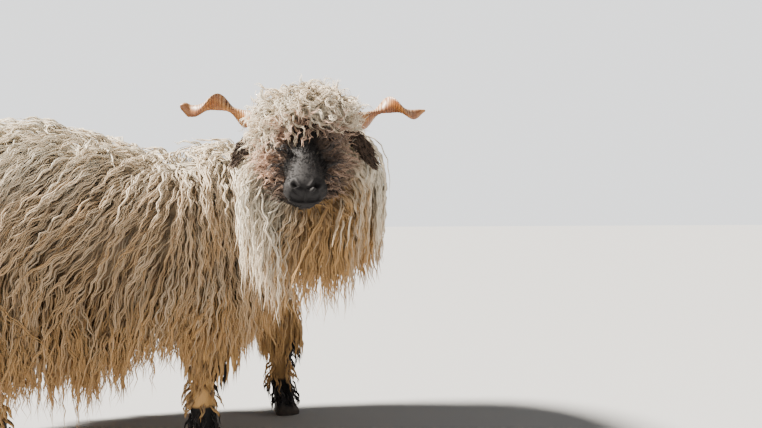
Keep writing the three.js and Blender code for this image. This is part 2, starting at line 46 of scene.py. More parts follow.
# Forms are in millimetres from the floor point midway between the forefeet, as the solids are made.
# The sheep faces +X, so its right flank is on the -Y side.
hoofLow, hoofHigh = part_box("forehoof_right")
hoofMiddle = np.array([-104.5, -129.0])  # middle of that hoof, measured from the same floor point
hoofSeen = np.array([hoofLow.x + hoofHigh.x, hoofLow.y + hoofHigh.y]) / 2 * 1000
shift = np.array([*(hoofSeen - hoofMiddle), 0.0])

body = {
    "footSpread": 129,  # from the middle plane to each leg
    "frontStride": 116,
    "foreTop": 486,
    "hindTop": 405,
    "hoofTop": 48,
    "faceAt": (85, -504, 747),  # midway between the eyes
    "faceTurn": -98.8,  # heading of the face, in degrees from +X
    "faceDroop": 38,
    "eyeSpan": 54,
    "eyeRadius": 13,
}


def toFrame(points):
    return (np.asarray(points) + shift) / 1000


def smoothStep(value, low, high):
    share = np.clip((value - low) / (high - low), 0, 1)
    return share * share * (3 - 2 * share)


def unit(vectors):
    return vectors / np.maximum(np.linalg.norm(vectors, axis=-1, keepdims=True), 1e-9)


def dot(a, b):
    return np.sum(a * b, axis=-1, keepdims=True)


# A smooth curve through stations, taken at shares of its length
def smoothCurve(stations, shares):
    stations = np.asarray(stations, float)
    ends = np.vstack([2 * stations[0] - stations[1], stations, 2 * stations[-1] - stations[-2]])
    reach = np.clip(shares, 0, 1) * (len(stations) - 1)
    first = np.minimum(reach.astype(int), len(stations) - 2)
    w = (reach - first)[:, None]
    p0, p1, p2, p3 = (ends[first + k] for k in range(4))
    gaps = (p1 - p0, p2 - p1, p3 - p2)
    d0, d1, d2 = (np.sqrt(np.linalg.norm(gap, axis=1))[:, None] for gap in gaps)
    d1 = np.where(d1 < 1e-4, 1, d1)
    d0 = np.where(d0 < 1e-4, d1, d0)
    d2 = np.where(d2 < 1e-4, d1, d2)
    m1 = ((p1 - p0) / d0 - (p2 - p0) / (d0 + d1) + (p2 - p1) / d1) * d1
    m2 = ((p2 - p1) / d1 - (p3 - p1) / (d1 + d2) + (p3 - p2) / d2) * d1
    rise = -3 * p1 + 3 * p2 - 2 * m1 - m2
    bend = 2 * p1 - 2 * p2 + m1 + m2
    return p1 + m1 * w + rise * w**2 + bend * w**3


def around(sides):
    return np.arange(sides) * 2 * np.pi / sides


# Sine or cosine of a section that is drawn out towards a square as the power falls below 1
def squared(value, power):
    return np.sign(value) * np.abs(value) ** power


# Triangles between rings of points that follow each other
def wallFaces(rings, sides, closed=False):
    r, k = np.meshgrid(np.arange(rings if closed else rings - 1), np.arange(sides), indexing="ij")
    start, after, nextOne = r * sides, (r + 1) % rings * sides, (k + 1) % sides
    a, b, c, d = start + k, start + nextOne, after + k, after + nextOne
    return np.concatenate([np.stack([a, b, d], -1).reshape(-1, 3), np.stack([a, d, c], -1).reshape(-1, 3)])


# The same with a pole closing each end; the poles come after the rings
def loftFaces(rings, sides):
    k = np.arange(sides)
    nextOne = (k + 1) % sides
    last, pole = (rings - 1) * sides, rings * sides
    return np.concatenate([
        wallFaces(rings, sides),
        np.stack([np.full(sides, pole), nextOne, k], -1),
        np.stack([np.full(sides, pole + 1), last + k, last + nextOne], -1),
    ])


def outwards(points, faces):
    corners = points[faces]
    volume = np.sum(corners[:, 0] * np.cross(corners[:, 1], corners[:, 2]))
    return faces if volume > 0 else faces[:, ::-1]


# Closed shell over rings; a pole that isn't given is the middle of its ring
def closedLoft(rings, first=None, last=None):
    first = rings[0].mean(axis=0) if first is None else first
    last = rings[-1].mean(axis=0) if last is None else last
    points = np.vstack([rings.reshape(-1, 3), first, last])
    return points, outwards(points, loftFaces(*rings.shape[:2]))


def joinShells(shells):
    points, faces, start = [], [], 0
    for shellPoints, shellFaces in shells:
        points.append(shellPoints)
        faces.append(shellFaces + start)
        start += len(shellPoints)
    return np.vstack(points), np.vstack(faces)


# A form along a curve whose oval section follows its stations (x, y, z, half width, half height)
class Form:
    steps = 400  # stretches that the curve is cut into
    every = 5  # of their ends, each fifth is tried for the section nearest to a point

    def __init__(self, stations, upward, squareness=2.0, turning=(1, 1, 1)):
        table = np.asarray(stations, float)
        shares = np.linspace(0, 1, self.steps + 1)
        self.at = smoothCurve(table[:, :3], shares)
        self.wide, self.tall = smoothCurve(table[:, 3:], shares).T
        along = unit(np.gradient(self.at, axis=0) * np.array(turning))
        self.side = unit(np.cross(along, np.array(upward, float)))
        self.up = unit(np.cross(self.side, along))
        self.squareness = squareness

    def pick(self, table, t):
        place = np.clip(t, 0, 1) * self.steps
        low = np.minimum(place.astype(int), self.steps - 1)
        w = place - low
        if table.ndim == 2:
            w = w[..., None]
        return table[low] * (1 - w) + table[low + 1] * w

    def surface(self, t, angle, extra=0.0):
        t, angle = np.broadcast_arrays(np.asarray(t, float), np.asarray(angle, float))
        power = 2 / self.squareness
        across = squared(np.cos(angle), power) * (self.pick(self.wide, t) + extra)
        height = squared(np.sin(angle), power) * (self.pick(self.tall, t) + extra)
        return (self.pick(self.at, t) + self.pick(self.side, t) * across[..., None]
                + self.pick(self.up, t) * height[..., None])

    # How far points are outside the sections nearest to them, and the way out.
    # Below the lowest share of its height a section counts as an upright wall.
    def outward(self, points, lowest=-np.inf):
        gaps = ((points[:, None, :] - self.at[::self.every][None]) ** 2).sum(axis=2)
        best = gaps.argmin(axis=1) * self.every
        offset = points - self.at[best]
        wide, tall = self.wide[best][:, None], self.tall[best][:, None]
        a = dot(offset, self.side[best])
        b = np.maximum(dot(offset, self.up[best]), lowest * tall)
        reach = np.hypot(a, b)
        share = np.maximum(np.hypot(a / wide, b / tall), 1e-6)
        way = unit(self.side[best] * a / wide**2 + self.up[best] * b / tall**2)
        return reach - reach / share, way

    # Closed shell of the form, as points and triangles
    def shell(self, steps, sides, extra=0.0):
        t, angle = np.meshgrid(np.linspace(0, 1, steps + 1), around(sides), indexing="ij")
        return closedLoft(self.surface(t, angle, extra), self.at[0], self.at[-1])


def station(x, y, top, bottom, wide):
    return (x, y, (top + bottom) / 2, wide, (top - bottom) / 2)


# Station of the body under the coat
def coreStation(outer, inset):
    x, y, middle, wide, tall = outer
    return station(x, y, middle + tall - inset["top"], middle - tall + inset["bottom"], wide - inset["side"])


trunkOutline = [
    station(-800, 0, 700, 520, 60),
    station(-775, 0, 765, 420, 130),
    station(-700, 0, 825, 290, 205),
    station(-580, 0, 846, 240, 240),
    station(-440, 0, 822, 215, 250),
    station(-320, 0, 793, 220, 250),
    station(-210, 0, 778, 250, 246),
    station(-80, 0, 795, 275, 235),
    station(40, 0, 815, 300, 222),
    station(150, 0, 780, 380, 180),
    station(200, 0, 720, 440, 110),
]
trunkInset = {"top": 34, "bottom": 100, "side": 40}
neckOutline = [
    station(0, 0, 800, 400, 200),
    station(95, -25, 825, 385, 215),
    station(165, -85, 832, 405, 185),
    station(195, -175, 840, 440, 152),
    station(180, -270, 845, 480, 138),
    station(145, -350, 845, 520, 128),
    station(100, -430, 840, 560, 110),
]
neckInset = {"top": 34, "bottom": 95, "side": 38}
trunk = Form([coreStation(s, trunkInset) for s in trunkOutline], (0, 0, 1), 2.2, (1, 0, 0))
neck = Form([coreStation(s, neckInset) for s in neckOutline], (0, 0, 1), 2.0, (1, 1, 0))


neckHem = {"front": 378, "rise": 112, "from": -25, "over": 325, "power": 1.2}


# Heights at which the hanging wool ends
def trunkHemAt(at):
    outline = np.array(trunkOutline)
    return np.interp(at[:, 0], outline[:, 0], outline[:, 2] - outline[:, 4])


def neckHemAt(at):
    share = np.clip((-at[:, 1] + neckHem["from"]) / neckHem["over"], 0, 1)
    return neckHem["front"] + neckHem["rise"] * share ** neckHem["power"]


def foreleg(side, stride):
    y = side * body["footSpread"]
    return [
        (0.4 * stride, y - 14 * side, body["foreTop"] + 30, 50, 66),
        (0.58 * stride, y - 4 * side, 370, 56, 66),
        (0.9 * stride, y, 270, 54, 58),
        (0.97 * stride, y, 205, 42, 44),
        (stride - 4, y, 160, 30, 32),
        (stride - 8, y, 110, 32, 36),
        (stride, y, 70, 31, 34),
        (stride + 6, y, 20, 30, 34),
    ]


def hindleg(side, x):
    y = side * body["footSpread"]
    return [
        (x + 55, y, body["hindTop"] + 30, 64, 100),
        (x + 30, y, 350, 62, 90),
        (x - 20, y, 280, 54, 68),
        (x - 28, y, 215, 42, 50),
        (x - 22, y, 160, 31, 36),
        (x - 14, y, 110, 32, 36),
        (x - 4, y, 70, 31, 34),
        (x, y, 20, 30, 34),
    ]


legs = {
    "foreleg_right": foreleg(-1, -body["frontStride"]),
    "foreleg_left": foreleg(1, body["frontStride"]),
    "hindleg_right": hindleg(-1, -600),
    "hindleg_left": hindleg(1, -690),
}
legForms = {name: Form(stations, (1, 0, 0), 2.0, (0, 0, 1)) for name, stations in legs.items()}
tailStations = [
    (-730, 0, 768, 22, 18),
    (-776, 0, 752, 26, 21),
    (-812, 0, 706, 28, 22),
    (-832, 0, 610, 28, 22),
    (-842, 0, 500, 24, 19),
    (-844, 0, 430, 12, 10),
]
tail = Form(tailStations, (1, 0, 0))

# Placement of the head: x runs down the nose, y to its left and z out of the forehead
faceHeading = Matrix.Rotation(math.radians(body["faceTurn"]), 3, "Z")
headTurn = np.array(faceHeading @ Matrix.Rotation(math.radians(body["faceDroop"]), 3, "Y"))
faceAt = np.array(body["faceAt"], float)


def fromHead(points):
    return np.asarray(points, float) @ headTurn.T + faceAt


def toHead(points):
    return (np.asarray(points, float) - faceAt) @ headTurn


# An oval mass of wool; its radii lie along the axes of the given turn
class Ball:
    def __init__(self, centre, radii, turn):
        self.centre = np.asarray(centre, float)
        self.radii = np.array(radii, float)
        self.turn = turn

    def surface(self, ways):
        return self.centre + (ways * self.radii) @ self.turn.T

    def outward(self, points, lowest=-np.inf):
        offset = (points - self.centre) @ self.turn
        reach = np.linalg.norm(offset, axis=1, keepdims=True)
        share = np.maximum(np.linalg.norm(offset / self.radii, axis=1, keepdims=True), 1e-6)
        return reach - reach / share, unit(offset / self.radii**2) @ self.turn.T

    def shell(self, steps=24, sides=32):
        fall = np.linspace(0, np.pi, steps + 1)[1:-1]
        f, k = np.meshgrid(fall, around(sides), indexing="ij")
        ways = np.stack([np.sin(f) * np.cos(k), np.sin(f) * np.sin(k), np.cos(f)], -1)
        poles = self.surface(np.array([[0, 0, 1.0], [0, 0, -1.0]]))
        return closedLoft(self.surface(ways.reshape(-1, 3)).reshape(ways.shape), poles[0], poles[1])


topknot = Ball(fromHead((-62, -5, 16)), (64, 92, 63), headTurn)
cheeks = Ball(fromHead((-36, 0, -40)), (58, 66, 48), headTurn)
throat = Ball((98, -412, 668), (122, 62, 92), np.eye(3))


# Smooth wandering value for neighbouring strands to share
def mixedField(points, scale, seed):
    waves = np.random.default_rng(seed).normal(size=(5, 3)) * 2 * np.pi / scale
    phases = np.random.default_rng(seed + 1).uniform(0, 2 * np.pi, 5)
    return np.sin(points @ waves.T + phases).sum(axis=1) / 2.2


# The face's dark ring, as the face is looked at along its droop
darkRing = {"wide": 112, "wideLow": 104, "lowFrom": -34, "high": 94, "middle": -38}
droopCosine, droopSine = 0.788, 0.616


# Where points lie as the face is looked at: share of the dark ring's radius, and how far forward
def faceRingPlace(points):
    head = toHead(points)
    rise = droopCosine * head[:, 2] - droopSine * head[:, 0]
    forward = droopCosine * head[:, 0] + droopSine * head[:, 2]
    wide = np.where(rise > darkRing["lowFrom"], darkRing["wide"], darkRing["wideLow"])
    return np.hypot(head[:, 1] / wide, (rise - darkRing["middle"]) / darkRing["high"]), forward


# 1 near a place and 0 away from it; distances count as shares of the size
def nearness(points, at, low, high, size=(1, 1, 1)):
    return 1 - smoothStep(np.linalg.norm((points - np.array(at)) / np.array(size), axis=1), low, high)


# Where each marking fades out: heights and lengths in millimetres
marking = {
    "ringEdge": (0.82, 1.12),  # shares of the dark ring's radius
    "ringFront": (-84, -52),
    "muzzleFrom": (50, 80),
    "bootTop": (92, 128),
    "kneeSpot": (40, 42, 44),  # its radii
    # The flank's gold is partly the wool's stain and partly painted shade on the flank below the lit back
    "flank": (600, 805),
    "deep": (330, 560),
    "deepShare": 0.38,  # of the gold; the rest is the flank's
    "chestFront": (30, 120),
    "chestTop": (560, 740),
}


def faceDark(head, ring, forward):
    edge = ring + 0.07 * mixedField(head, 70, 41)
    dark = (1 - smoothStep(edge, *marking["ringEdge"])) * smoothStep(forward, *marking["ringFront"])
    aside = np.hypot(head[:, 1], head[:, 2] + 14)
    muzzle = smoothStep(head[:, 0], *marking["muzzleFrom"]) * (1 - smoothStep(aside, 60, 72))
    return np.maximum(dark, muzzle)


# Black feet, and a black spot on each knee and hock
def legDark(points):
    low = 1 - smoothStep(points[:, 2], *marking["bootTop"])
    for name, stations in legs.items():
        forwards = 30 if name.startswith("fore") else -30
        spot = np.array(stations[3][:3]) + np.array([forwards, 0, -4])
        low = np.maximum(low, nearness(points, spot, 0.85, 1.15, marking["kneeSpot"]))
    return low


def goldShare(points, head, forward):
    x, z = points[:, 0], points[:, 2]
    # Gold from this height down: the wool's stain, and painted shade on the flank
    flankGoldAndShade = 1 - smoothStep(z, *marking["flank"])
    deepGold = 1 - smoothStep(z, *marking["deep"])
    gold = (1 - marking["deepShare"]) * flankGoldAndShade + marking["deepShare"] * deepGold
    chest = smoothStep(x, *marking["chestFront"]) * (1 - smoothStep(z, *marking["chestTop"]))
    gold = np.clip(np.maximum(gold, chest), 0, 1)
    chin = smoothStep(-head[:, 2], 60, 120) * smoothStep(forward, -150, -60)
    chin = chin * (0.35 + 0.65 * smoothStep(head[:, 1], -90, -20))
    top = nearness(head, (-62, 0, 30), 90, 150)
    gold = np.maximum(gold * (1 - top) + 0.1 * top, chin)
    # Painted light: the ruff under the face's right cheek is made less golden, as if lit
    paintedLightOnRuff = nearness(head, (-10, -100, -85), 60, 145)
    return gold * (1 - 0.85 * paintedLightOnRuff)


# Markings shared by skin and coat: how dark, how golden and how far the tips are bleached, with the bleach
# raised on the face's right side as painted light
def markingsAt(points):
    head = toHead(points)
    ring, forward = faceRingPlace(points)
    dark = faceDark(head, ring, forward)
    bridge = smoothStep(head[:, 0], -4, 22) * (1 - smoothStep(np.abs(head[:, 1]), 14, 46))
    bleachAndSideLight = dark * (1 - smoothStep(head[:, 0], 10, 52)) * (1 - bridge)
    # Painted light: tips are paler on the face's right side, where light falls, and darker on its left
    bleachAndSideLight *= 1.25 - 0.6 * smoothStep(head[:, 1], -10, 60)
    return np.stack([np.maximum(dark, legDark(points)), goldShare(points, head, forward), bleachAndSideLight], axis=1)


def placeObject(name, data):
    placed = bpy.data.objects.new(name, data)
    bpy.context.scene.collection.objects.link(placed)
    return placed


# Plain mesh of an object with its modifiers worked in; the object itself goes
def finishedMesh(piece):
    depsgraph = bpy.context.evaluated_depsgraph_get()
    mesh = bpy.data.meshes.new_from_object(piece.evaluated_get(depsgraph))
    bpy.data.objects.remove(piece)
    return mesh


# Mesh from points and triangles, with point attributes
def meshFrom(name, points, faces, fields=None, bakeMap=None):
    mesh = bpy.data.meshes.new(name)
    mesh.vertices.add(len(points))
    mesh.vertices.foreach_set("co", toFrame(points).astype(np.float32).ravel())
    mesh.loops.add(faces.size)
    mesh.loops.foreach_set("vertex_index", faces.astype(np.int32).ravel())
    mesh.polygons.add(len(faces))
    mesh.polygons.foreach_set("loop_start", np.arange(0, faces.size, faces.shape[1], dtype=np.int32))
    mesh.polygons.foreach_set("use_smooth", np.ones(len(faces), bool))
    mesh.update(calc_edges=True)
    for fieldName, values in (fields or {}).items():
        field = mesh.attributes.new(fieldName, "FLOAT_VECTOR", "POINT")
        field.data.foreach_set("vector", values.astype(np.float32).ravel())
    if bakeMap is not None:
        layer = mesh.uv_layers.new(name="OFBake")
        layer.uv.foreach_set("vector", bakeMap[faces.ravel()].astype(np.float32).ravel())
    return mesh


def addPiece(name, mesh, material, nodes=()):
    piece = placeObject(name, mesh)
    mesh.materials.clear()
    mesh.materials.append(material)
    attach(piece, "root")
    if nodes:
        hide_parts(*nodes)
    print(name, len(mesh.polygons), "faces")


patch = 0.003  # side of the square that each strand takes in the bake map
tipReach = 0.6  # how far a strand's point stands past its last ring, as a share of the last step


# Closed tapered strands along paths of shape (strands, rings, 3), and where each point lies on its strand:
# share of the length, side, and the strand's own random number
def strandShells(strands):
    paths, sides = strands["paths"], strands["sides"]
    count, rings = paths.shape[:2]
    turns = around(sides) + np.pi / 2
    flat = strands["half"][..., None] * np.cos(turns)
    high = strands["half"][..., None] * np.sin(turns) * strands["thick"]
    ringPoints = (paths[:, :, None] + strands["across"][:, :, None] * flat[..., None]
                  + strands["lifts"][:, :, None] * high[..., None])
    tips = paths[:, -1] + (paths[:, -1] - paths[:, -2]) * tipReach
    points = np.concatenate([ringPoints.reshape(count, -1, 3), np.stack([paths[:, 0], tips], axis=1)], axis=1)
    faces = loftFaces(rings, sides)[None] + (np.arange(count) * points.shape[1])[:, None, None]
    along = np.concatenate([np.repeat(np.linspace(0, 1, rings), sides), [0, 1]])
    sideways = np.concatenate([np.tile(np.cos(turns), rings), [0, 0]])
    place = np.stack(np.broadcast_arrays(along, sideways, strands["random"][:, None]), axis=-1)
    return points.reshape(-1, 3), faces.reshape(-1, 3), place.reshape(-1, 3)


# One coat piece from groups of strands, with the markings of their roots
def coatPiece(name, groups):
    groups = [group for group in groups if len(group["paths"])]
    shells = [strandShells(group) for group in groups]
    points, faces = joinShells([shell[:2] for shell in shells])
    place = np.vstack([shell[2] for shell in shells])
    eachRoot = [len(shell[0]) // len(group["paths"]) for shell, group in zip(shells, groups)]
    marks = np.vstack([np.repeat(group["marks"], count, axis=0) for group, count in zip(groups, eachRoot)])
    roots = np.vstack([np.repeat(group["bake"], count, axis=0) for group, count in zip(groups, eachRoot)])
    bakeMap = roots + np.stack([place[:, 0] - 0.5, place[:, 1] * 0.5], axis=1) * patch
    mesh = meshFrom(name, points, outwards(points, faces), {"marking": marks, "strand": place}, bakeMap)
    addPiece(name, mesh, wool)


# Of many roots, the first in each cube of the given size
def onePerCube(at, size):
    return np.sort(np.unique(np.floor(at / size).astype(int), axis=0, return_index=True)[1])


# Roots spread evenly over part of a form: the part's share of the length, its angles and the roots' spacing
def spreadRoots(form, area, draw, tries=60000):
    run, angles, spacing = area
    t = draw.uniform(*run, tries)
    angle = np.radians(draw.uniform(*angles, tries))
    at = form.surface(t, angle)
    keep = onePerCube(at, spacing)
    return t[keep], angle[keep], at[keep]


largestPush = 14  # how far a lock is moved out of the body in one step


# Middles of locks: they leave the body at their roots, lie along it and hang free below it
def growGuides(form, at, look, draw, sweep, length):
    count = len(at)
    steps = look["guideRings"]
    away = form.outward(at)[1]
    comb = away * look["loft"] + away * np.array([1, 1, 0]) * look["parting"]
    comb[:, 2] -= look["gravity"]
    if sweep is not None:
        comb = comb + sweep(at)
    swirl = np.stack([mixedField(at, look["swirl"], 3 + k) for k in range(3)], axis=1)
    comb = comb + swirl * look["wander"] + draw.normal(size=(count, 3)) * look["stray"]
    rise = draw.uniform(*look["rise"], count)[:, None]
    point = at - away * look["sink"]
    heading = away.copy()
    path = []
    for i in range(steps):
        distance, way = form.outward(point, look["lowest"])
        out = unit(way * [1, 1, 0] + [0, 0, 1] * np.maximum(way[:, 2:], 0)) if look["hangs"] else way
        along = unit(comb - out * dot(comb, out) * (1 - look["stands"]))
        risen = min(1, i / (steps - 1) / look["riseBy"]) ** 0.7
        target = -look["sink"] + (rise + look["sink"]) * risen
        if i > 0:
            point = point + out * np.clip(target - distance, 0, largestPush)
        heading = unit(heading * look["spring"] + along * (1 - look["spring"]))
        path.append(point)
        point = point + heading * (length / (steps - 1))[:, None]
    return {"path": np.stack(path, axis=1), "length": length, "at": at, "random": draw.uniform(0, 1, count)}


# Strands of every lock: they start spread over its root, share its waves and close up to its tip
def fillLocks(form, guides, look, draw):
    owner = np.repeat(np.arange(len(guides["at"])), look["strands"])
    count = len(owner)
    rings = look["rings"]
    loose = draw.uniform(0, 1, count) < look["loose"]
    shares = np.linspace(0, 1, rings)[None]
    begin = draw.uniform(0, look["stagger"], count)[:, None]
    finish = draw.uniform(0.72, 1.0, count)[:, None]
    run = begin + (finish - begin) * shares
    reach = run * (look["guideRings"] - 1)
    low = np.minimum(reach.astype(int), look["guideRings"] - 2)
    w = (reach - low)[..., None]
    middle = guides["path"]
    path = middle[owner[:, None], low] * (1 - w) + middle[owner[:, None], low + 1] * w
    along = unit(np.gradient(path, axis=1))
    out = form.outward(path[:, rings // 2])[1][:, None]
    across = unit(np.cross(along, out))
    lift = unit(np.cross(across, along))
    turn = draw.uniform(0, 2 * np.pi, count)[:, None]
    spread = look["lockWidth"] * np.sqrt(draw.uniform(0, 1, count))[:, None]
    spread = spread * np.where(loose, 1.5, 1)[:, None]
    close = 1 - (1 - look["tipWidth"]) * smoothStep(shares, 0.0, 0.85) * np.where(loose, 0.3, 1)[:, None]
    path = path + across * (spread * np.cos(turn) * close)[..., None]
    path = path + lift * (spread * np.sin(turn) * close * look["lockDepth"])[..., None]
    arc = run * guides["length"][owner][:, None]
    shortest, longest = look["waveLength"]
    waveLength = (shortest + (longest - shortest) * guides["random"])[owner][:, None]
    phase = (guides["random"] * 40)[owner][:, None] + draw.normal(size=count)[:, None] * look["ownPhase"]
    size = draw.uniform(*look["wave"], len(guides["at"]))[owner][:, None]
    swing = size * smoothStep(shares, 0.0, 0.35) * draw.uniform(0.8, 1.2, count)[:, None]
    phase = phase + 2 * np.pi * arc / waveLength
    path = path + across * (swing * np.sin(phase))[..., None]
    path = path + lift * (swing * look["coil"] * (1 + np.cos(phase)))[..., None]
    frizz = look["frizz"] * smoothStep(shares, 0.05, 0.5)
    own = draw.uniform(0, 2 * np.pi, count)[:, None] + 2 * np.pi * arc / (waveLength * 0.57)
    path = path + across * (frizz * np.sin(own))[..., None] + lift * (frizz * np.cos(own * 0.9))[..., None]
    half = draw.uniform(*look["half"], count)[:, None] * np.where(loose, 0.6, 1)[:, None]
    taper = np.minimum(1, 0.5 + shares * 3) * (1 - shares ** look["tipPower"] * 0.85)
    return {
        "paths": path,
        "across": across,
        "lifts": lift,
        "half": half * taper,
        "thick": look["thick"],
        "random": 0.6 * guides["random"][owner] + 0.4 * draw.uniform(0, 1, count),
        "sides": look["sides"],
        "marks": markingsAt(guides["at"])[owner] * np.array([look["darkens"], 1, look["darkens"]]),
        "bake": guides["bake"][owner] + draw.uniform(-0.004, 0.004, (count, 2)),
    }


fleeceLook = {
    "length": (150, 220),
    "half": (1.4, 2.6),  # half width of a strand
    "thick": 0.8,  # share of its width
    "rise": (10, 38),  # how far the locks lie off the body
    "riseBy": 0.3,  # share of the length by which they have risen
    "guideRings": 22,  # points along a lock
    "rings": 14,  # rings along a strand
    "sides": 3,
    "strands": 4,  # in each lock
    "lockWidth": 11,
    "lockDepth": 0.6,  # share of its width
    "tipWidth": 0.3,  # share of the width at the root
    "stagger": 0.12,  # the last strands start at this share of the lock
    "loose": 0.12,  # share of the strands that leave their lock
    "sink": 14,  # depth of the roots under the form
    "gravity": 1.0,
    "loft": 0.0,  # pull away from the body
    "stands": 0.0,  # 0 lies along the body, 1 stands off it
    "parting": 0.5,  # level pull away from the body
    "hangs": True,  # free of the body where it turns under
    "lowest": -0.25,  # share of its height below which the body counts as an upright wall
    "swirl": 420,  # distance over which neighbours keep together
    "wander": 0.24,  # how far neighbours drift together
    "stray": 0.11,  # how far each lock drifts alone
    "spring": 0.35,  # how slowly a lock bends away from its root's way
    "wave": (2.0, 5.0),
    "waveLength": (40, 62),
    "coil": 0.45,
    "frizz": 0.9,
    "ownPhase": 0.35,
    "tipPower": 3,
    "darkens": 1,  # 0 leaves the dark markings off the locks
}


# Place of roots on an unwrap of the skin's shape
def bakePlace(turn, along, left=0.02, width=0.95):
    return np.stack([left + width * turn, 0.02 + 0.95 * along], axis=1)


def turnShare(angle):
    return angle / (2 * np.pi) % 1


# Locks over part of a form: the roots that are kept, their lengths and their strands
def formStrands(form, area, look, seed, lengthsOf, kept=None, sweep=None, cleared=None, unwrap=(),
                tries=60000):
    draw = np.random.default_rng(seed)
    t, angle, at = spreadRoots(form, area, draw, tries)
    if kept is not None:
        chosen = kept(at)
        t, angle, at = t[chosen], angle[chosen], at[chosen]
    guides = growGuides(form, at, look, draw, sweep, lengthsOf(at, look, draw))
    guides["bake"] = bakePlace(turnShare(angle), t, *unwrap)
    if cleared is not None:
        guides = cleared(guides)
    return fillLocks(form, guides, look, draw)


# Locks near the hem of the wool end raggedly round it, and the others have their own length
def hemLengths(at, look, draw, hem, trim, lift=0.0):
    drop = at[:, 2] - hem + draw.uniform(*trim["ragged"], len(at)) + lift
    natural = draw.uniform(*look["length"], len(at))
    return np.where(drop < trim["below"], np.clip(drop * trim["past"], *trim["limits"]), natural)


trunkTrim = {"ragged": (-15, 45), "below": 330, "past": 1.08, "limits": (70, 320), "rearLift": 60}
neckTrim = {"ragged": (-60, 30), "below": 260, "past": 1, "limits": (80, 250)}
shoulderAt, shoulderWay = np.array([75, 0, 600.0]), np.array([0.97, -0.243, 0])
napeAt, napeWay = np.array([128, -392, 742.0]), np.array([-0.3, -0.93, 0.2])
rearmost = -762  # no lock of the trunk is rooted behind this


# Wool of the trunk is swept back along the flank
def trunkSweep(at):
    back = -at[:, 0]
    lean = 0.95 * smoothStep(back, 90, 430) * (1 - smoothStep(back, 600, 740))
    high = smoothStep(at[:, 2], 420, 660)
    return np.stack([-lean * (0.12 + 0.88 * high), np.zeros(len(at)), np.zeros(len(at))], axis=1)


def onTrunk(at):
    return ((at - shoulderAt) @ shoulderWay < 20) & (at[:, 0] > rearmost)


def trunkLengths(at, look, draw):
    lift = trunkTrim["rearLift"] * smoothStep(-at[:, 0], 150, 420)
    return hemLengths(at, look, draw, trunkHemAt(at), trunkTrim, lift)


def trunkStrands(run, angles, spacing, look, seed):
    return formStrands(trunk, (run, angles, spacing), look, seed, trunkLengths, onTrunk, trunkSweep)


# What the locks keep clear of: the face inside its ring, the ears and a height
clearing = {
    "share": 0.97,  # of the dark ring's radius
    "front": -80,
    "earSpan": (84, 160),
    "earBack": -110,
    "earHalf": 15,
    "highest": 904,
}


def clearOfFace(guides, share=clearing["share"]):
    path = guides["path"].reshape(-1, 3)
    ring, forward = faceRingPlace(path)
    head = toHead(path)
    earFrom, earTo = clearing["earSpan"]
    earWay = np.clip((np.abs(head[:, 1]) - earFrom) / 68, 0, 1)
    earAside = head[:, 2] - 0.79 * (head[:, 0] + 66) + 12 + 74 * earWay
    onEar = (head[:, 1] > earFrom) & (head[:, 1] < earTo) & (np.abs(earAside) < clearing["earHalf"])
    onEar &= forward > clearing["earBack"]
    onFace = (ring < share) & (forward > clearing["front"])
    blocked = onFace | onEar | (path[:, 2] > clearing["highest"])
    inside = blocked.reshape(guides["path"].shape[:2]).any(axis=1)
    return {key: values[~inside] for key, values in guides.items()}


def onNeck(at):
    return ((at - shoulderAt) @ shoulderWay > -40) & ((at - napeAt) @ napeWay < 40)


def neckLengths(at, look, draw):
    return hemLengths(at, look, draw, neckHemAt(at), neckTrim)


# Wool of the neck leans towards the head near it
def neckSweep(at):
    near = smoothStep(-at[:, 1], 180, 400)[:, None]
    return near * np.array([-0.18, -0.5, 0.0])


def neckStrands(run, angles, spacing, look, seed):
    return formStrands(neck, (run, angles, spacing), look, seed, neckLengths, onNeck, neckSweep, clearOfFace)


# Curls on an oval mass of wool, where its roots' places allow them
def curlStrands(ball, look, seed, allowed, others=(), clear=0.0, sweep=None):
    draw = np.random.default_rng(seed)
    ways = unit(draw.normal(size=(30000, 3)))
    at = ball.surface(ways)
    keep = onePerCube(at, look["spacing"])
    ways, at = ways[keep], at[keep]
    ring, forward = faceRingPlace(at)
    chosen = allowed({"at": at, "way": ways, "ring": ring, "forward": forward})
    for other in others:
        chosen &= other.outward(at)[0][:, 0] > -8
    ways, at = ways[chosen], at[chosen]
    ring, forward = faceRingPlace(at)
    short = 0.4 + 0.6 * np.maximum(smoothStep(ring, 0.95, 1.6), smoothStep(-forward, 20, 90))
    lengths = draw.uniform(*look["length"], len(at)) * (short if look["shortInFront"] else 1)
    guides = growGuides(ball, at, look, draw, sweep, lengths)
    fall = np.arccos(np.clip(ways[:, 2], -1, 1)) / np.pi
    guides["bake"] = bakePlace(turnShare(np.arctan2(ways[:, 1], ways[:, 0])), fall)
    return fillLocks(ball, clearOfFace(guides, clear), look, draw)


# Node helpers for shaders and Geometry Nodes
def link(tree, source, target):
    tree.links.new(source, target)


def newGroup(name, inputs, outputs):
    group = bpy.data.node_groups.new(name, "ShaderNodeTree")
    for socketName, kind, value in inputs:
        socket = group.interface.new_socket(name=socketName, in_out="INPUT", socket_type=kind)
        socket.default_value = value
    for socketName, kind in outputs:
        group.interface.new_socket(name=socketName, in_out="OUTPUT", socket_type=kind)
    return group, group.nodes.new("NodeGroupInput"), group.nodes.new("NodeGroupOutput")


def feed(tree, socket, value):
    if isinstance(value, bpy.types.NodeSocket):
        link(tree, value, socket)
    else:
        socket.default_value = value


def mathNode(tree, operation, first, second, clamp=False):
    node = tree.nodes.new("ShaderNodeMath")
    node.operation = operation
    node.use_clamp = clamp
    feed(tree, node.inputs[0], first)
    feed(tree, node.inputs[1], second)
    return node.outputs[0]


def times(tree, first, second, clamp=False):
    return mathNode(tree, "MULTIPLY", first, second, clamp)


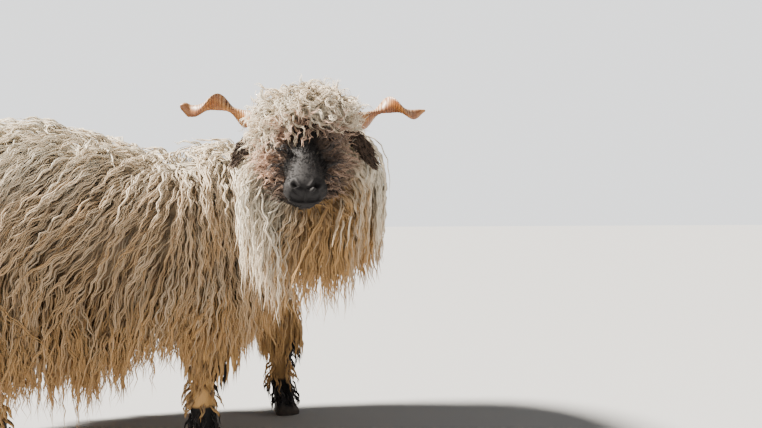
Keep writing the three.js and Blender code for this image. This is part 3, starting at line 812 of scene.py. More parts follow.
def mixNode(tree, factor, first, second, blend="MIX"):
    node = tree.nodes.new("ShaderNodeMix")
    node.data_type = "RGBA"
    node.blend_type = blend
    for number, value in ((0, factor), (6, first), (7, second)):
        feed(tree, node.inputs[number], value)
    return node.outputs[2]


# The same value in red, green and blue
def greyNode(tree, value):
    node = tree.nodes.new("ShaderNodeCombineColor")
    for socket in node.inputs:
        link(tree, value, socket)
    return node.outputs[0]


def fieldNode(tree, name):
    node = tree.nodes.new("ShaderNodeAttribute")
    node.attribute_name = name
    parts = tree.nodes.new("ShaderNodeSeparateXYZ")
    link(tree, node.outputs["Vector"], parts.inputs[0])
    return parts.outputs


def placeGroup(tree, group, values):
    node = tree.nodes.new("ShaderNodeGroup")
    node.node_tree = group
    for key, value in values.items():
        node.inputs[key].default_value = value
    return node.outputs


# Colour of wool and short fur from the markings and the place along a strand, with painted shade that darkens
# each strand towards its root
def buildCoatTint():
    group, into, out = newGroup("coatTint", [
        ("Cream", "NodeSocketColor", (0.8, 0.74, 0.62, 1)),
        ("Gold", "NodeSocketColor", (0.4, 0.26, 0.13, 1)),
        ("Black", "NodeSocketColor", (0.012, 0.01, 0.011, 1)),
        ("Bleached", "NodeSocketColor", (0.16, 0.1, 0.075, 1)),
        ("Painted Root Shade", "NodeSocketFloat", 0.45),
    ], [("Colour", "NodeSocketColor")])
    given = into.outputs
    dark, gold, bleachAndSideLight = fieldNode(group, "marking")
    along, _, random = fieldNode(group, "strand")
    offMiddle = mathNode(group, "SUBTRACT", random, 0.5)
    strandGold = mathNode(group, "ADD", gold, times(group, offMiddle, 0.45))
    warm = mathNode(group, "ADD", strandGold, times(group, along, 0.2), True)
    wool = mixNode(group, warm, given["Cream"], given["Gold"])
    tipShare = times(group, mathNode(group, "POWER", along, 0.4), bleachAndSideLight)
    strandLift = mathNode(group, "ADD", times(group, random, 0.9), 0.4)
    blackWool = mixNode(group, times(group, tipShare, strandLift, True), given["Black"], given["Bleached"])
    strandDark = mathNode(group, "ADD", dark, times(group, offMiddle, 0.75))
    edge = times(group, mathNode(group, "SUBTRACT", strandDark, 0.35), 3.3, True)
    marked = mixNode(group, edge, wool, blackWool)
    # Painted shade: a strand darkens towards its root, where the wool lies deep
    paintedRootShade = times(group, mathNode(group, "SUBTRACT", 1.0, along), given["Painted Root Shade"])
    depth = greyNode(group, mathNode(group, "SUBTRACT", 1.0, paintedRootShade))
    link(group, mixNode(group, 1.0, marked, depth, "MULTIPLY"), out.inputs["Colour"])
    return group


# A group whose noise lifts the surface and is given out as a mask
def newBumpGroup(name, own, detail, distance):
    group, into, out = newGroup(name, [("Strength", "NodeSocketFloat", 0.5), own],
                                [("Normal", "NodeSocketVector"), ("Mask", "NodeSocketFloat")])
    noise = group.nodes.new("ShaderNodeTexNoise")
    noise.inputs["Detail"].default_value = detail
    bump = group.nodes.new("ShaderNodeBump")
    bump.inputs["Distance"].default_value = distance
    link(group, into.outputs["Strength"], bump.inputs["Strength"])
    link(group, noise.outputs[0], bump.inputs["Height"])
    link(group, bump.outputs[0], out.inputs["Normal"])
    link(group, noise.outputs[0], out.inputs["Mask"])
    return group, into.outputs, noise.inputs


# Fine lengthwise fibres
def buildFibreBump():
    group, given, noise = newBumpGroup("fibreBump", ("Fibres", "NodeSocketFloat", 5.0), 3, 0.002)
    along, sideways, random = fieldNode(group, "strand")
    spot = group.nodes.new("ShaderNodeCombineXYZ")
    link(group, times(group, along, 3.0), spot.inputs[0])
    link(group, times(group, sideways, given["Fibres"]), spot.inputs[1])
    link(group, times(group, random, 83.0), spot.inputs[2])
    noise["Scale"].default_value = 1.6
    link(group, spot.outputs[0], noise["Vector"])
    return group


# Fine grain of bare surfaces
def buildSurfaceGrain():
    group, given, noise = newBumpGroup("surfaceGrain", ("Scale", "NodeSocketFloat", 300.0), 5, 0.001)
    link(group, given["Scale"], noise["Scale"])
    link(group, group.nodes.new("ShaderNodeTexCoord").outputs["Object"], noise["Vector"])
    return group


coatTint = buildCoatTint()
surfaceGrain = buildSurfaceGrain()
fibreBump = buildFibreBump()


def newMaterial(name, values):
    material = bpy.data.materials.new(name)
    material.use_nodes = True
    shader = material.node_tree.nodes["Principled BSDF"].inputs
    for key, value in values.items():
        shader[key].default_value = value
    return material, material.node_tree, shader


# Gives the shader the grain's normal and returns its mask
def addGrain(tree, scale, strength):
    normal, mask = placeGroup(tree, surfaceGrain, {"Scale": scale, "Strength": strength})
    link(tree, normal, tree.nodes["Principled BSDF"].inputs["Normal"])
    return mask


woolTint = {
    "Cream": (1.0, 0.91, 0.74, 1),
    "Gold": (0.58, 0.34, 0.132, 1),
    "Black": (0.014, 0.011, 0.012, 1),
    "Bleached": (0.9, 0.6, 0.43, 1),
    "Painted Root Shade": 0.5,
}
# Colour follows the fibre bump: darker in its grooves as painted shade between fibres, lighter on its ridges
# as painted highlight
fibreGrooveShading = {"Strength": 0.35, "dark": 0.7, "light": 1.15}  # bump, and the factors between fibres


def woolMaterial(name, tint, values):
    material, tree, shader = newMaterial(name, values)
    colour = placeGroup(tree, coatTint, tint)
    normal, mask = placeGroup(tree, fibreBump, {"Strength": fibreGrooveShading["Strength"]})
    # The bump's noise darkens the colour in its grooves (painted shade) and lightens it on its ridges
    # (painted highlight)
    ramp = tree.nodes.new("ShaderNodeMapRange")
    limits = (0.3, 0.7, fibreGrooveShading["dark"], fibreGrooveShading["light"])
    for key, value in zip(("From Min", "From Max", "To Min", "To Max"), limits):
        ramp.inputs[key].default_value = value
    link(tree, mask, ramp.inputs["Value"])
    fibreShaded = mixNode(tree, 1.0, colour[0], greyNode(tree, ramp.outputs[0]), "MULTIPLY")
    link(tree, fibreShaded, shader["Base Color"])
    link(tree, normal, shader["Normal"])
    return material


wool = woolMaterial("fleeceWool", woolTint, {"Roughness": 0.85, "Sheen Weight": 0.1})
# The skin takes a stronger painted root shade, so gaps in the wool read as shadow
skinTint = {**woolTint, "Painted Root Shade": 0.62, "Black": (0.009, 0.008, 0.0085, 1)}
skinCoat = woolMaterial("skinAndShortFur", skinTint, {"Roughness": 0.7, "Specular IOR Level": 0.26})
addGrain(skinCoat.node_tree, 420, 0.9)
furTint = {**woolTint, "Black": (0.0055, 0.0047, 0.0053, 1)}
shortCoat = woolMaterial("shortFur", furTint, {"Roughness": 0.48, "Specular IOR Level": 0.14})
print("materials made")

# The skin under the coat: each form's rings, points in a ring and how far it is drawn in
bodySkin = {
    "trunk": (60, 64, -10),
    "neck": (50, 56, -10),
    "leg": (40, 32, -3),
    "tail": (40, 24, -3),
    "voxel": 0.008,  # in metres
    "smoothing": (0.5, 8),  # factor and rounds
}


# Body, neck, legs and tail in one smooth surface
def buildBodySkin():
    shells = [trunk.shell(*bodySkin["trunk"]), neck.shell(*bodySkin["neck"])]
    shells += [form.shell(*bodySkin["leg"]) for form in legForms.values()]
    shells.append(tail.shell(*bodySkin["tail"]))
    shells += [mass.shell() for mass in (topknot, cheeks, throat)]
    piece = placeObject("bodySkin", meshFrom("bodySkin", *joinShells(shells)))
    remesh = piece.modifiers.new("close", "REMESH")
    remesh.mode = "VOXEL"
    remesh.voxel_size = bodySkin["voxel"]
    smooth = piece.modifiers.new("smooth", "SMOOTH")
    smooth.factor, smooth.iterations = bodySkin["smoothing"]
    result = finishedMesh(piece)
    points = np.zeros(len(result.vertices) * 3, np.float32)
    result.vertices.foreach_get("co", points)
    points = points.reshape(-1, 3).astype(float) * 1000 - shift
    result.calc_loop_triangles()
    faces = np.zeros(len(result.loop_triangles) * 3, np.int32)
    result.loop_triangles.foreach_get("vertices", faces)
    return points, faces.reshape(-1, 3)


# Skull, face and jaws as stations down the nose; the last stretch is a rounded muzzle
faceStations = [
    (-150, 0, -20, 60, 60),
    (-105, 0, -6, 64, 66),
    (-60, 0, -6, 66, 70),
    (-15, 0, -14, 62, 66),
    (30, 0, -22, 50, 56),
    (75, 0, -20, 40, 44),
    (112, 0, -14, 39, 38),
    (142, 0, -14, 44, 38),
    (162, 0, -16, 38, 31),
    (170, 0, -16, 24, 18),
]
faceForm = Form(faceStations, (0, 0, 1), 2.2)

# Bulges and hollows of the face on its left half: place, size and height
faceRelief = [
    ((2, 56, 8), (30, 30, 24), 5),  # round the eye
    ((2, 62, 8), (13, 18, 8), -9),  # the eye's hollow
    ((-8, 44, 34), (24, 20, 12), 6),  # brow
    ((-20, 56, -34), (30, 24, 24), 4),  # cheek
    ((70, 38, 2), (34, 16, 16), -4),  # side of the nose
    ((70, 0, 22), (60, 14, 14), 3),  # bridge of the nose
    ((146, 36, -24), (20, 16, 14), 3.5),  # upper lip
    ((152, 14, -54), (22, 20, 14), 3),  # chin
]
nostril = {"at": (159, 16.0, 5.0), "way": (-8.0, 12, 9), "depth": 14, "half": 4.6, "rim": 2.8}
mouth = {"height": -26, "slope": 0.07, "depth": 5.5, "lips": (1.9, 1.4)}
headMesh = {"sides": 160, "faceRings": 80, "muzzleRings": 110, "start": 0.15, "split": 0.64}
muzzle = {"start": 7 / 9, "at": 142, "middle": -14, "long": 28, "half": (42.5, 36.5)}


# Rings down the nose; from the muzzle's start on they round off its front
def headRings():
    angle = around(headMesh["sides"])
    lengthwise = np.concatenate([
        np.linspace(headMesh["start"], headMesh["split"], headMesh["faceRings"], endpoint=False),
        np.linspace(headMesh["split"], 1.0, headMesh["muzzleRings"]),
    ])
    rings = []
    for t in lengthwise:
        if t <= muzzle["start"]:
            rings.append(faceForm.surface(np.full(len(angle), t), angle, -1.5))
            continue
        phi = (t - muzzle["start"]) / (1 - muzzle["start"]) * np.pi / 2
        share = max(math.cos(phi), 1e-3) ** 0.62
        power = 2 / faceForm.squareness
        across = squared(np.cos(angle), power) * muzzle["half"][0] * share
        high = squared(np.sin(angle), power) * muzzle["half"][1] * share
        forward = muzzle["at"] + muzzle["long"] * math.sin(phi)
        height = muzzle["middle"] - 3 * math.sin(phi) + high
        rings.append(np.stack([np.full(len(angle), forward), -across, height], axis=1))
    return np.stack(rings)


# Hollow of each nostril, a slit that parts upwards and outwards, and its rim
def nostrilPush(mirrored):
    slit = unit(np.array(nostril["way"]))
    offset = mirrored - np.array(nostril["at"])
    lengthways = (offset * slit).sum(axis=-1)
    off = offset - lengthways[..., None] * slit
    aside = np.linalg.norm(off * np.array([0.55, 1, 1]), axis=-1)
    hollow = nostril["depth"] * np.exp(-((aside / nostril["half"]) ** 2)) * np.exp(-((lengthways / 11) ** 4))
    rim = nostril["rim"] * np.exp(-(((aside - 8.5) / 3.2) ** 2)) * np.exp(-((lengthways / 14) ** 4))
    return hollow, rim


def buildHeadSkin():
    rings = headRings()
    alongRun = np.gradient(rings, axis=0)
    alongRing = np.roll(rings, -1, axis=1) - np.roll(rings, 1, axis=1)
    normals = unit(np.cross(alongRun, alongRing))
    middle = rings.mean(axis=1, keepdims=True)
    normals *= np.sign(dot(normals, rings - middle - np.array([20, 0, 0])))
    x, y, z = rings[..., 0], rings[..., 1], rings[..., 2]
    mirrored = np.stack([x, np.abs(y), z], axis=-1)
    push = np.zeros(x.shape)
    for at, size, height in faceRelief:
        push += height * np.exp(-(((mirrored - np.array(at)) / np.array(size)) ** 2).sum(axis=-1))
    hollow, rim = nostrilPush(mirrored)
    push -= hollow
    push += rim
    # groove under the nose, mouth line and lips
    front = smoothStep(x, 140, 160)
    push -= 3.2 * np.exp(-((y / 1.9) ** 2)) * front * smoothStep(z, -27, -20) * (1 - smoothStep(z, 0, 8))
    mouthRun = smoothStep(x, 92, 108)
    above = z - (mouth["height"] - mouth["slope"] * (140 - x))
    upperLip, lowerLip = mouth["lips"]
    push -= mouth["depth"] * np.exp(-((above / 1.7) ** 2)) * mouthRun
    push += upperLip * np.exp(-(((above - 6) / 4) ** 2)) * mouthRun
    push += lowerLip * np.exp(-(((above + 5) / 3.4) ** 2)) * mouthRun
    rings = rings + normals * push[..., None]
    narrow = smoothStep(x, 90, 130) * smoothStep(-z, 4, 52)
    rings[..., 1] *= 1 - 0.34 * narrow
    points, faces = closedLoft(rings)
    return fromHead(points), faces


# The left ear from its root to its tip: x, y and z on the head, and half width
earStations = np.array([
    (-80, 62, 8, 10),
    (-78, 86, -12, 15),
    (-74, 108, -30, 20),
    (-68, 128, -52, 21),
    (-60, 146, -74, 15),
    (-55, 157, -89, 5),
])
earMesh = {"rings": 49, "sides": 40}


def earRun(side):
    return earStations[:, :3] * [1, side, 1]


def buildEarSkin(side):
    shares = np.linspace(0, 1, earMesh["rings"])
    at = smoothCurve(earRun(side), shares)
    half = smoothCurve(earStations[:, 3:], shares)[:, 0]
    along = unit(np.gradient(at, axis=0))
    opening = np.array([0.55, 0.75 * side, 0.1])  # the way the cup of the ear looks
    facing = unit(opening - along * (along @ opening)[:, None])
    across = np.cross(along, facing)
    turns = around(earMesh["sides"])
    share = np.cos(turns)
    rim = np.where(np.sin(turns) > 0, 0.5, -1.0) * np.abs(np.sin(turns)) ** 0.7
    rings = []
    for i in range(len(shares)):
        width = max(half[i] - 1, 2)
        cup = 0.46 * width * share**2
        rings.append(at[i] + across[i] * (width * share)[:, None] + facing[i] * (cup + rim * 2.6)[:, None])
    points, faces = closedLoft(np.stack(rings))
    return fromHead(points), faces


def buildSkin():
    shells = [buildBodySkin(), buildHeadSkin(), buildEarSkin(-1), buildEarSkin(1)]
    points, faces = joinShells(shells)
    ears = slice(len(shells[0][0]) + len(shells[1][0]), len(points))
    marks = markingsAt(points)
    marks[ears, 0] = 1
    marks[ears, 2] = 0.06
    strand = np.zeros((len(points), 3))
    # Painted shade: skin under the wool counts as a strand's root and takes the full root shade; muzzle and
    # ears take none
    strand[:, 0] = smoothStep(toHead(points)[:, 0], 20, 70)
    strand[ears, 0] = 1
    strand[:, 2] = 0.5
    mesh = meshFrom("skin", points, faces, {"marking": marks, "strand": strand})
    fleshNodes = ["torso", "neck", "tail", "head", "ear_right", "ear_left", *legs]
    addPiece("skin", mesh, skinCoat, fleshNodes)


buildSkin()

# Looks of the trunk's wool: the far side has fewer and broader strands, the back is tousled
farLook = {**fleeceLook, "strands": 3, "lockWidth": 16, "half": (3.0, 5.0), "rings": 11}
bellyLook = {**farLook, "lowest": -np.inf, "rings": 8, "half": (4.0, 6.5)}
backLook = {
    **fleeceLook, "length": (80, 150), "wave": (3, 6.5), "wander": 0.6, "stray": 0.35, "rise": (8, 34),
    "strands": 3, "rings": 9, "frizz": 1.6, "half": (1.8, 3.2),
}
rump = Ball((-690, 0, 600), (112, 160, 175), np.eye(3))
rumpLook = {
    **farLook, "spacing": 25, "shortInFront": False, "length": (170, 250), "parting": 0.08, "stray": 0.13,
    "rings": 10, "half": (2.6, 4.4), "lockWidth": 12,
}


def rearPart(spot):
    return (spot["way"][:, 0] < -0.2) & (spot["way"][:, 2] > -0.7)


# Wool of the trunk: share of its length, angles round it, spacing of the locks, look and seed
flank, farFlank = (-62, 60), (116, 250)
sideAreas = [
    ("fleeceRightRear", (0.0, 0.36), flank, 24, fleeceLook, 1),
    ("fleeceRightMiddle", (0.36, 0.64), flank, 24.5, fleeceLook, 2),
    ("fleeceRightFront", (0.64, 1.0), flank, 21, fleeceLook, 3),
    ("fleeceLeftRear", (0.0, 0.5), farFlank, 33, farLook, 4),
    ("fleeceLeftFront", (0.5, 1.0), farFlank, 33, farLook, 5),
]
for name, *area in sideAreas:
    coatPiece(name, [trunkStrands(*area)])
coatPiece("fleeceRump", [curlStrands(rump, rumpLook, 19, rearPart)])
coatPiece("fleeceBelly", [trunkStrands((0.2, 0.95), (246, 300), 36, bellyLook, 26)])
coatPiece("fleeceBack", [trunkStrands((0.0, 1.0), (58, 122), 24, backLook, 6)])

# Wool of the neck, in the same order
maneLook = {**fleeceLook, "lowest": -np.inf, "stray": 0.16, "wander": 0.25, "rise": (8, 42), "rings": 12}
napeLook = {
    **backLook, "lowest": -np.inf, "rise": (8, 30), "length": (80, 140), "rings": 10, "half": (2.2, 3.8),
}
maneAreas = [
    ("maneInner", (0.04, 1.0), (-90, 62), 24, maneLook, 7),
    ("maneTop", (0.0, 1.0), (55, 130), 21, napeLook, 27),
    ("maneOuter", (0.0, 1.0), (115, 270), 31, {**farLook, "lowest": -np.inf}, 8),
]
for name, *area in maneAreas:
    coatPiece(name, [neckStrands(*area)])

curlLook = {
    **fleeceLook,
    "spacing": 14.5,
    "shortInFront": True,  # over the face
    "length": (62, 104),
    "half": (1.1, 1.9),
    "thick": 0.9,
    "rise": (6, 34),
    "riseBy": 0.6,
    "guideRings": 26,
    "rings": 14,
    "strands": 5,
    "lockWidth": 6.5,
    "lockDepth": 1,
    "tipWidth": 0.5,
    "stagger": 0.1,
    "loose": 0.2,
    "sink": 8,
    "gravity": 0.6,
    "loft": 0.5,
    "stands": 0.3,
    "parting": 0.7,
    "hangs": False,
    "lowest": -np.inf,
    "wander": 0.6,
    "stray": 0.5,
    "spring": 0.72,
    "wave": (3.5, 8),
    "waveLength": (26, 42),
    "coil": 0.9,
    "frizz": 1.2,
    "ownPhase": 0.4,
}
ringLook = {
    **curlLook, "spacing": 13, "shortInFront": False, "length": (52, 92), "half": (1.0, 1.7), "rise": (8, 34),
    "rings": 12, "strands": 3, "lockWidth": 4.5, "gravity": 0.4, "loft": 0.9, "stands": 0.5, "stray": 0.38,
    "wave": (2.5, 5.5), "waveLength": (22, 38),
}
foreheadLook = {**ringLook, "gravity": 1.0, "loft": 0.5, "length": (52, 92), "strands": 4}
shortRing = {**ringLook, "spacing": 11.5, "length": (26, 46), "rings": 9, "rise": (6, 22)}
jawLook = {**ringLook, "length": (40, 72)}
throatLook = {
    **maneLook, "darkens": 0, "spacing": 17, "shortInFront": False, "length": (150, 272), "rise": (12, 40),
    "parting": 0.45, "wander": 0.22, "stray": 0.2, "strands": 4,
}
ruffLook = {
    **throatLook, "spacing": 14, "length": (60, 115), "rise": (10, 34), "half": (1.0, 1.7), "gravity": 0.75,
    "hangs": False, "parting": 0.25, "waveLength": (26, 44), "rings": 10, "strands": 4, "lockWidth": 7,
}


# The face form carried into the body's place
class OnHead:
    def __init__(self, form):
        self.form = form

    def surface(self, t, angle, extra=0.0):
        return fromHead(self.form.surface(t, angle, extra))

    def outward(self, points, lowest=-np.inf):
        distance, way = self.form.outward(toHead(points), lowest)
        return distance, way @ headTurn.T


faceOnHead = OnHead(faceForm)


# Where no curls grow: the nose, its bridge and round the eyes
def bareFace(head):
    bare = (np.abs(head[:, 1]) < 30) & (head[:, 2] > 0) & (head[:, 0] > 8)
    bare |= head[:, 0] > 62 - 0.3 * np.abs(head[:, 1])
    nearEye = np.linalg.norm(np.abs(head) - np.array([2, 58, 8]), axis=1) < 19
    return bare | nearEye


# Where each kind of curl may grow
def aboveFace(spot):
    onTop = (spot["way"][:, 2] > -0.45) | (spot["forward"] < -70)
    return onTop & ((spot["ring"] > 1.12) | (spot["forward"] < -60))


def inRing(spot):
    return (spot["ring"] < 1.14) & (spot["forward"] > -80) & ~bareFace(toHead(spot["at"]))


def underChin(spot):
    return (spot["ring"] < 0.95) & (spot["forward"] > -80)


def roundRing(spot):
    inBand = (spot["ring"] > 0.8) & (spot["ring"] < 1.4) & (spot["forward"] > -120)
    return inBand & (toHead(spot["at"])[:, 2] < 0)


def belowRing(spot):
    return spot["ring"] > 0.95


# A combing direction that spreads away from the face
def spreadSweep(at):
    head = toHead(at)
    upward = head[:, 2] + 20
    spread = unit(np.stack([-droopSine * upward, head[:, 1], droopCosine * upward], axis=1))
    return 0.9 * (spread @ headTurn.T)


def jawLengths(at, look, draw):
    below = smoothStep(-toHead(at)[:, 2], 10, 50)
    return draw.uniform(*look["length"], len(at)) * (1 - 0.25 * below)


def offBareFace(at):
    return ~bareFace(toHead(at))


# Dark curls all round the face: forehead, cheeks, chin and jaws, with the nose left bare
def buildFaceRing():
    jaw = ((0.2, 0.6), (0, 360), 14)
    coatPiece("faceRing", [
        curlStrands(topknot, foreheadLook, 10, inRing, [cheeks, faceOnHead]),
        curlStrands(cheeks, ringLook, 11, inRing, [topknot, faceOnHead], 0.0, spreadSweep),
        curlStrands(throat, shortRing, 15, underChin, [topknot, cheeks, faceOnHead], 0.0, spreadSweep),
        formStrands(faceOnHead, jaw, jawLook, 12, jawLengths, offBareFace, spreadSweep),
    ])


coatPiece("topknotCurls", [curlStrands(topknot, curlLook, 9, aboveFace)])
buildFaceRing()
coatPiece("ruff", [
    curlStrands(throat, ruffLook, 16, roundRing, [cheeks, topknot], 0.78, spreadSweep),
    curlStrands(cheeks, ruffLook, 17, roundRing, [throat, topknot], 0.88, spreadSweep),
    curlStrands(topknot, ruffLook, 18, roundRing, [throat, cheeks], 0.88, spreadSweep),
])
coatPiece("throatWool", [curlStrands(throat, throatLook, 14, belowRing, [cheeks], 0.92)])

legLook = {
    **fleeceLook, "length": (50, 85), "half": (2.0, 3.4), "rings": 6, "rise": (2, 16), "sink": 5,
    "parting": 0.25, "lowest": -np.inf, "wave": (1.5, 3.5), "waveLength": (26, 40), "stray": 0.16,
    "strands": 3, "lockWidth": 7, "riseBy": 0.5,
}
legWool = {
    "top": 480,
    "rightForelegTop": 360,  # above it that leg is in the chest's wool
    "footGap": 18,
    "seed": 20,
}


def legLengths(at, look, draw):
    high = smoothStep(at[:, 2], 170, 300)
    lengths = draw.uniform(*look["length"], len(at)) * (0.62 + 1.0 * high)
    return np.minimum(lengths, np.clip(at[:, 2] - legWool["footGap"], 26, None))


def legStrands(name, column):
    top = legWool["rightForelegTop" if name == "foreleg_right" else "top"]
    area = ((0.1, 0.94), (0, 360), 25)
    return formStrands(legForms[name], area, legLook, legWool["seed"] + column, legLengths,
                       lambda at: at[:, 2] < top, unwrap=(0.01 + 0.25 * column, 0.23), tries=20000)


coatPiece("legWool", [legStrands(name, column) for column, name in enumerate(legs)])

tailLook = {
    **fleeceLook, "length": (100, 150), "rise": (4, 16), "lowest": -np.inf, "parting": 0.12, "sink": 6,
    "lockWidth": 8, "rings": 10,
}
tailHem = 312


def tailLengths(at, look, draw):
    return np.clip(np.minimum(draw.uniform(*look["length"], len(at)), at[:, 2] - tailHem), 40, None)


coatPiece("tailWool", [
    formStrands(tail, ((0.2, 1.0), (0, 360), 26), tailLook, 31, tailLengths, tries=20000),
])

# Short fur of face and ears: one curved tuft repeated over a host surface that holds its size and way
tuftSizes = {
    "length": 0.011,  # in metres, as the two below
    "nearNose": 0.0042,
    "earLength": 0.017,
    "halfWidth": 0.1,  # shares of the tuft's length
    "lift": 0.3,
    "rings": 4,
    "faceDensity": 75000,  # tufts in a square metre
    "earDensity": 55000,
    "uneven": (0.7, 1.25),
    "stray": 0.35,
    "seed": 5,
}


# Tuft of length 1, along X and lifting to Z
def tuftShape():
    shares = np.linspace(0, 1, tuftSizes["rings"])[None]
    height = 0.9 * tuftSizes["lift"] * np.sin(shares * 2.5) - 0.05
    path = np.stack([shares * 1.0 - 0.08, np.zeros_like(shares), height], axis=-1)
    points, faces, place = strandShells({
        "paths": path,
        "across": np.broadcast_to(np.array([0, 1.0, 0]), path.shape),
        "lifts": np.broadcast_to(np.array([0, 0, 1.0]), path.shape),
        "half": tuftSizes["halfWidth"] * (1 - shares**2 * 0.9),
        "thick": 0.45,
        "random": np.zeros(1),
        "sides": 3,
    })
    mesh = meshFrom("tuftShape", points * 1000 - shift, outwards(points, faces), {"tuftPlace": place})
    return placeObject("tuftShape", mesh)


def readField(tree, name, kind):
    node = tree.nodes.new("GeometryNodeInputNamedAttribute")
    node.data_type = kind
    node.inputs["Name"].default_value = name
    return node.outputs["Attribute"]


def storeField(tree, geometry, name, kind, domain, value):
    node = tree.nodes.new("GeometryNodeStoreNamedAttribute")
    node.data_type = kind
    node.domain = domain
    node.inputs["Name"].default_value = name
    link(tree, geometry, node.inputs["Geometry"])
    link(tree, value, node.inputs["Value"])
    return node.outputs["Geometry"]


def randomNode(tree, kind, lowest=None, highest=None, seed=None):
    node = tree.nodes.new("FunctionNodeRandomValue")
    node.data_type = kind
    first = 0 if kind == "FLOAT_VECTOR" else 2
    for key, value in ((first, lowest), (first + 1, highest), ("Seed", seed)):
        if value is not None:
            node.inputs[key].default_value = value
    return node.outputs[0 if kind == "FLOAT_VECTOR" else 1]


def multiplyAdd(tree, first, factor, added):
    node = tree.nodes.new("ShaderNodeVectorMath")
    node.operation = "MULTIPLY_ADD"
    for socket, value in zip(node.inputs, (first, factor, added)):
        feed(tree, socket, value)
    return node.outputs[0]


def alignNode(tree, axis, vector, rotation=None):
    node = tree.nodes.new("FunctionNodeAlignEulerToVector")
    node.axis = axis
    link(tree, vector, node.inputs["Vector"])
    if rotation is not None:
        node.pivot_axis = "Z"
        link(tree, rotation, node.inputs["Rotation"])
    return node.outputs[0]


def joinXyz(tree, *values):
    node = tree.nodes.new("ShaderNodeCombineXYZ")
    for socket, value in zip(node.inputs, values):
        link(tree, value, socket)
    return node.outputs[0]


def buildTuftTree():
    tree = bpy.data.node_groups.new("shortTufts", "GeometryNodeTree")
    sockets = {"Surface": "Geometry", "Tuft": "Object", "Density": "Float", "Seed": "Int", "Patch": "Float",
               "Material": "Material"}
    for name, kind in sockets.items():
        tree.interface.new_socket(name=name, in_out="INPUT", socket_type="NodeSocket" + kind)
    tree.interface.new_socket(name="Tufts", in_out="OUTPUT", socket_type="NodeSocketGeometry")
    given = tree.nodes.new("NodeGroupInput").outputs
    out = tree.nodes.new("NodeGroupOutput")
    scatter = tree.nodes.new("GeometryNodeDistributePointsOnFaces")
    link(tree, given["Surface"], scatter.inputs["Mesh"])
    density = times(tree, given["Density"], readField(tree, "tuftDensity", "FLOAT"))
    link(tree, density, scatter.inputs["Density"])
    link(tree, given["Seed"], scatter.inputs["Seed"])
    chance = randomNode(tree, "FLOAT")
    points = storeField(tree, scatter.outputs["Points"], "tuftRandom", "FLOAT", "POINT", chance)
    stray = (tuftSizes["stray"],) * 3
    jitter = randomNode(tree, "FLOAT_VECTOR", (-1, -1, -1), seed=3)
    lie = multiplyAdd(tree, jitter, stray, readField(tree, "tuftWay", "FLOAT_VECTOR"))
    stand = alignNode(tree, "Z", scatter.outputs["Normal"])
    uneven = randomNode(tree, "FLOAT", *tuftSizes["uneven"], 9)
    shape = tree.nodes.new("GeometryNodeObjectInfo")
    link(tree, given["Tuft"], shape.inputs["Object"])
    place = tree.nodes.new("GeometryNodeInstanceOnPoints")
    link(tree, points, place.inputs["Points"])
    link(tree, shape.outputs["Geometry"], place.inputs["Instance"])
    link(tree, alignNode(tree, "X", lie, stand), place.inputs["Rotation"])
    link(tree, times(tree, uneven, readField(tree, "tuftSize", "FLOAT")), place.inputs["Scale"])
    real = tree.nodes.new("GeometryNodeRealizeInstances")
    link(tree, place.outputs[0], real.inputs[0])
    spot = tree.nodes.new("ShaderNodeSeparateXYZ")
    link(tree, readField(tree, "tuftPlace", "FLOAT_VECTOR"), spot.inputs[0])
    strand = joinXyz(tree, spot.outputs[0], spot.outputs[1], readField(tree, "tuftRandom", "FLOAT"))
    grown = storeField(tree, real.outputs[0], "strand", "FLOAT_VECTOR", "POINT", strand)
    flat = joinXyz(tree, spot.outputs[0], spot.outputs[1])
    bakeSpot = multiplyAdd(tree, flat, given["Patch"], readField(tree, "rootPlace", "FLOAT_VECTOR"))
    mapped = storeField(tree, grown, "OFBake", "FLOAT2", "CORNER", bakeSpot)
    paint = tree.nodes.new("GeometryNodeSetMaterial")
    link(tree, mapped, paint.inputs["Geometry"])
    link(tree, given["Material"], paint.inputs["Material"])
    link(tree, paint.outputs[0], out.inputs["Tufts"])
    return tree


# Places on an unwrap, one for each face corner, with the last column closed
def unwrapCorners(places, faces):
    corners = places[faces]
    wraps = np.ptp(corners[..., 0], axis=1) > 0.3
    corners[wraps, :, 0] += np.where(corners[wraps, :, 0] < 0.35, 0.6, 0)
    return corners.reshape(-1, 2)


# The surface that carries the tufts, with its fields on points and face corners
def tuftHost(name, points, faces, fields, corners):
    mesh = meshFrom(name, points, faces, {"marking": fields["marking"], "tuftWay": fields["way"]})
    for key in ("tuftSize", "tuftDensity"):
        field = mesh.attributes.new(key, "FLOAT", "POINT")
        field.data.foreach_set("value", fields[key].astype(np.float32))
    root = mesh.attributes.new("rootPlace", "FLOAT_VECTOR", "CORNER")
    root.data.foreach_set("vector", np.c_[corners, np.zeros(len(corners))].astype(np.float32).ravel())
    return placeObject(name, mesh)


def growTufts(name, host, shape, tree, density):
    values = {"Tuft": shape, "Density": density, "Patch": patch, "Material": shortCoat}
    values["Seed"] = tuftSizes["seed"]
    grow = host.modifiers.new("tufts", "NODES")
    grow.node_group = tree
    for item in tree.interface.items_tree:
        if item.in_out == "INPUT" and item.name in values:
            grow[item.identifier] = values[item.name]
    mesh = finishedMesh(host)
    mesh.name = name
    mesh.polygons.foreach_set("use_smooth", np.ones(len(mesh.polygons), bool))
    addPiece(name, mesh, shortCoat)


# Place on the unwrap of each point of a lofted shell, in a column of its own
def loftPlaces(points, sides, rings, left, width):
    grid = np.arange(len(points))
    return bakePlace((grid % sides) / sides, (grid // sides) / rings, left, width)


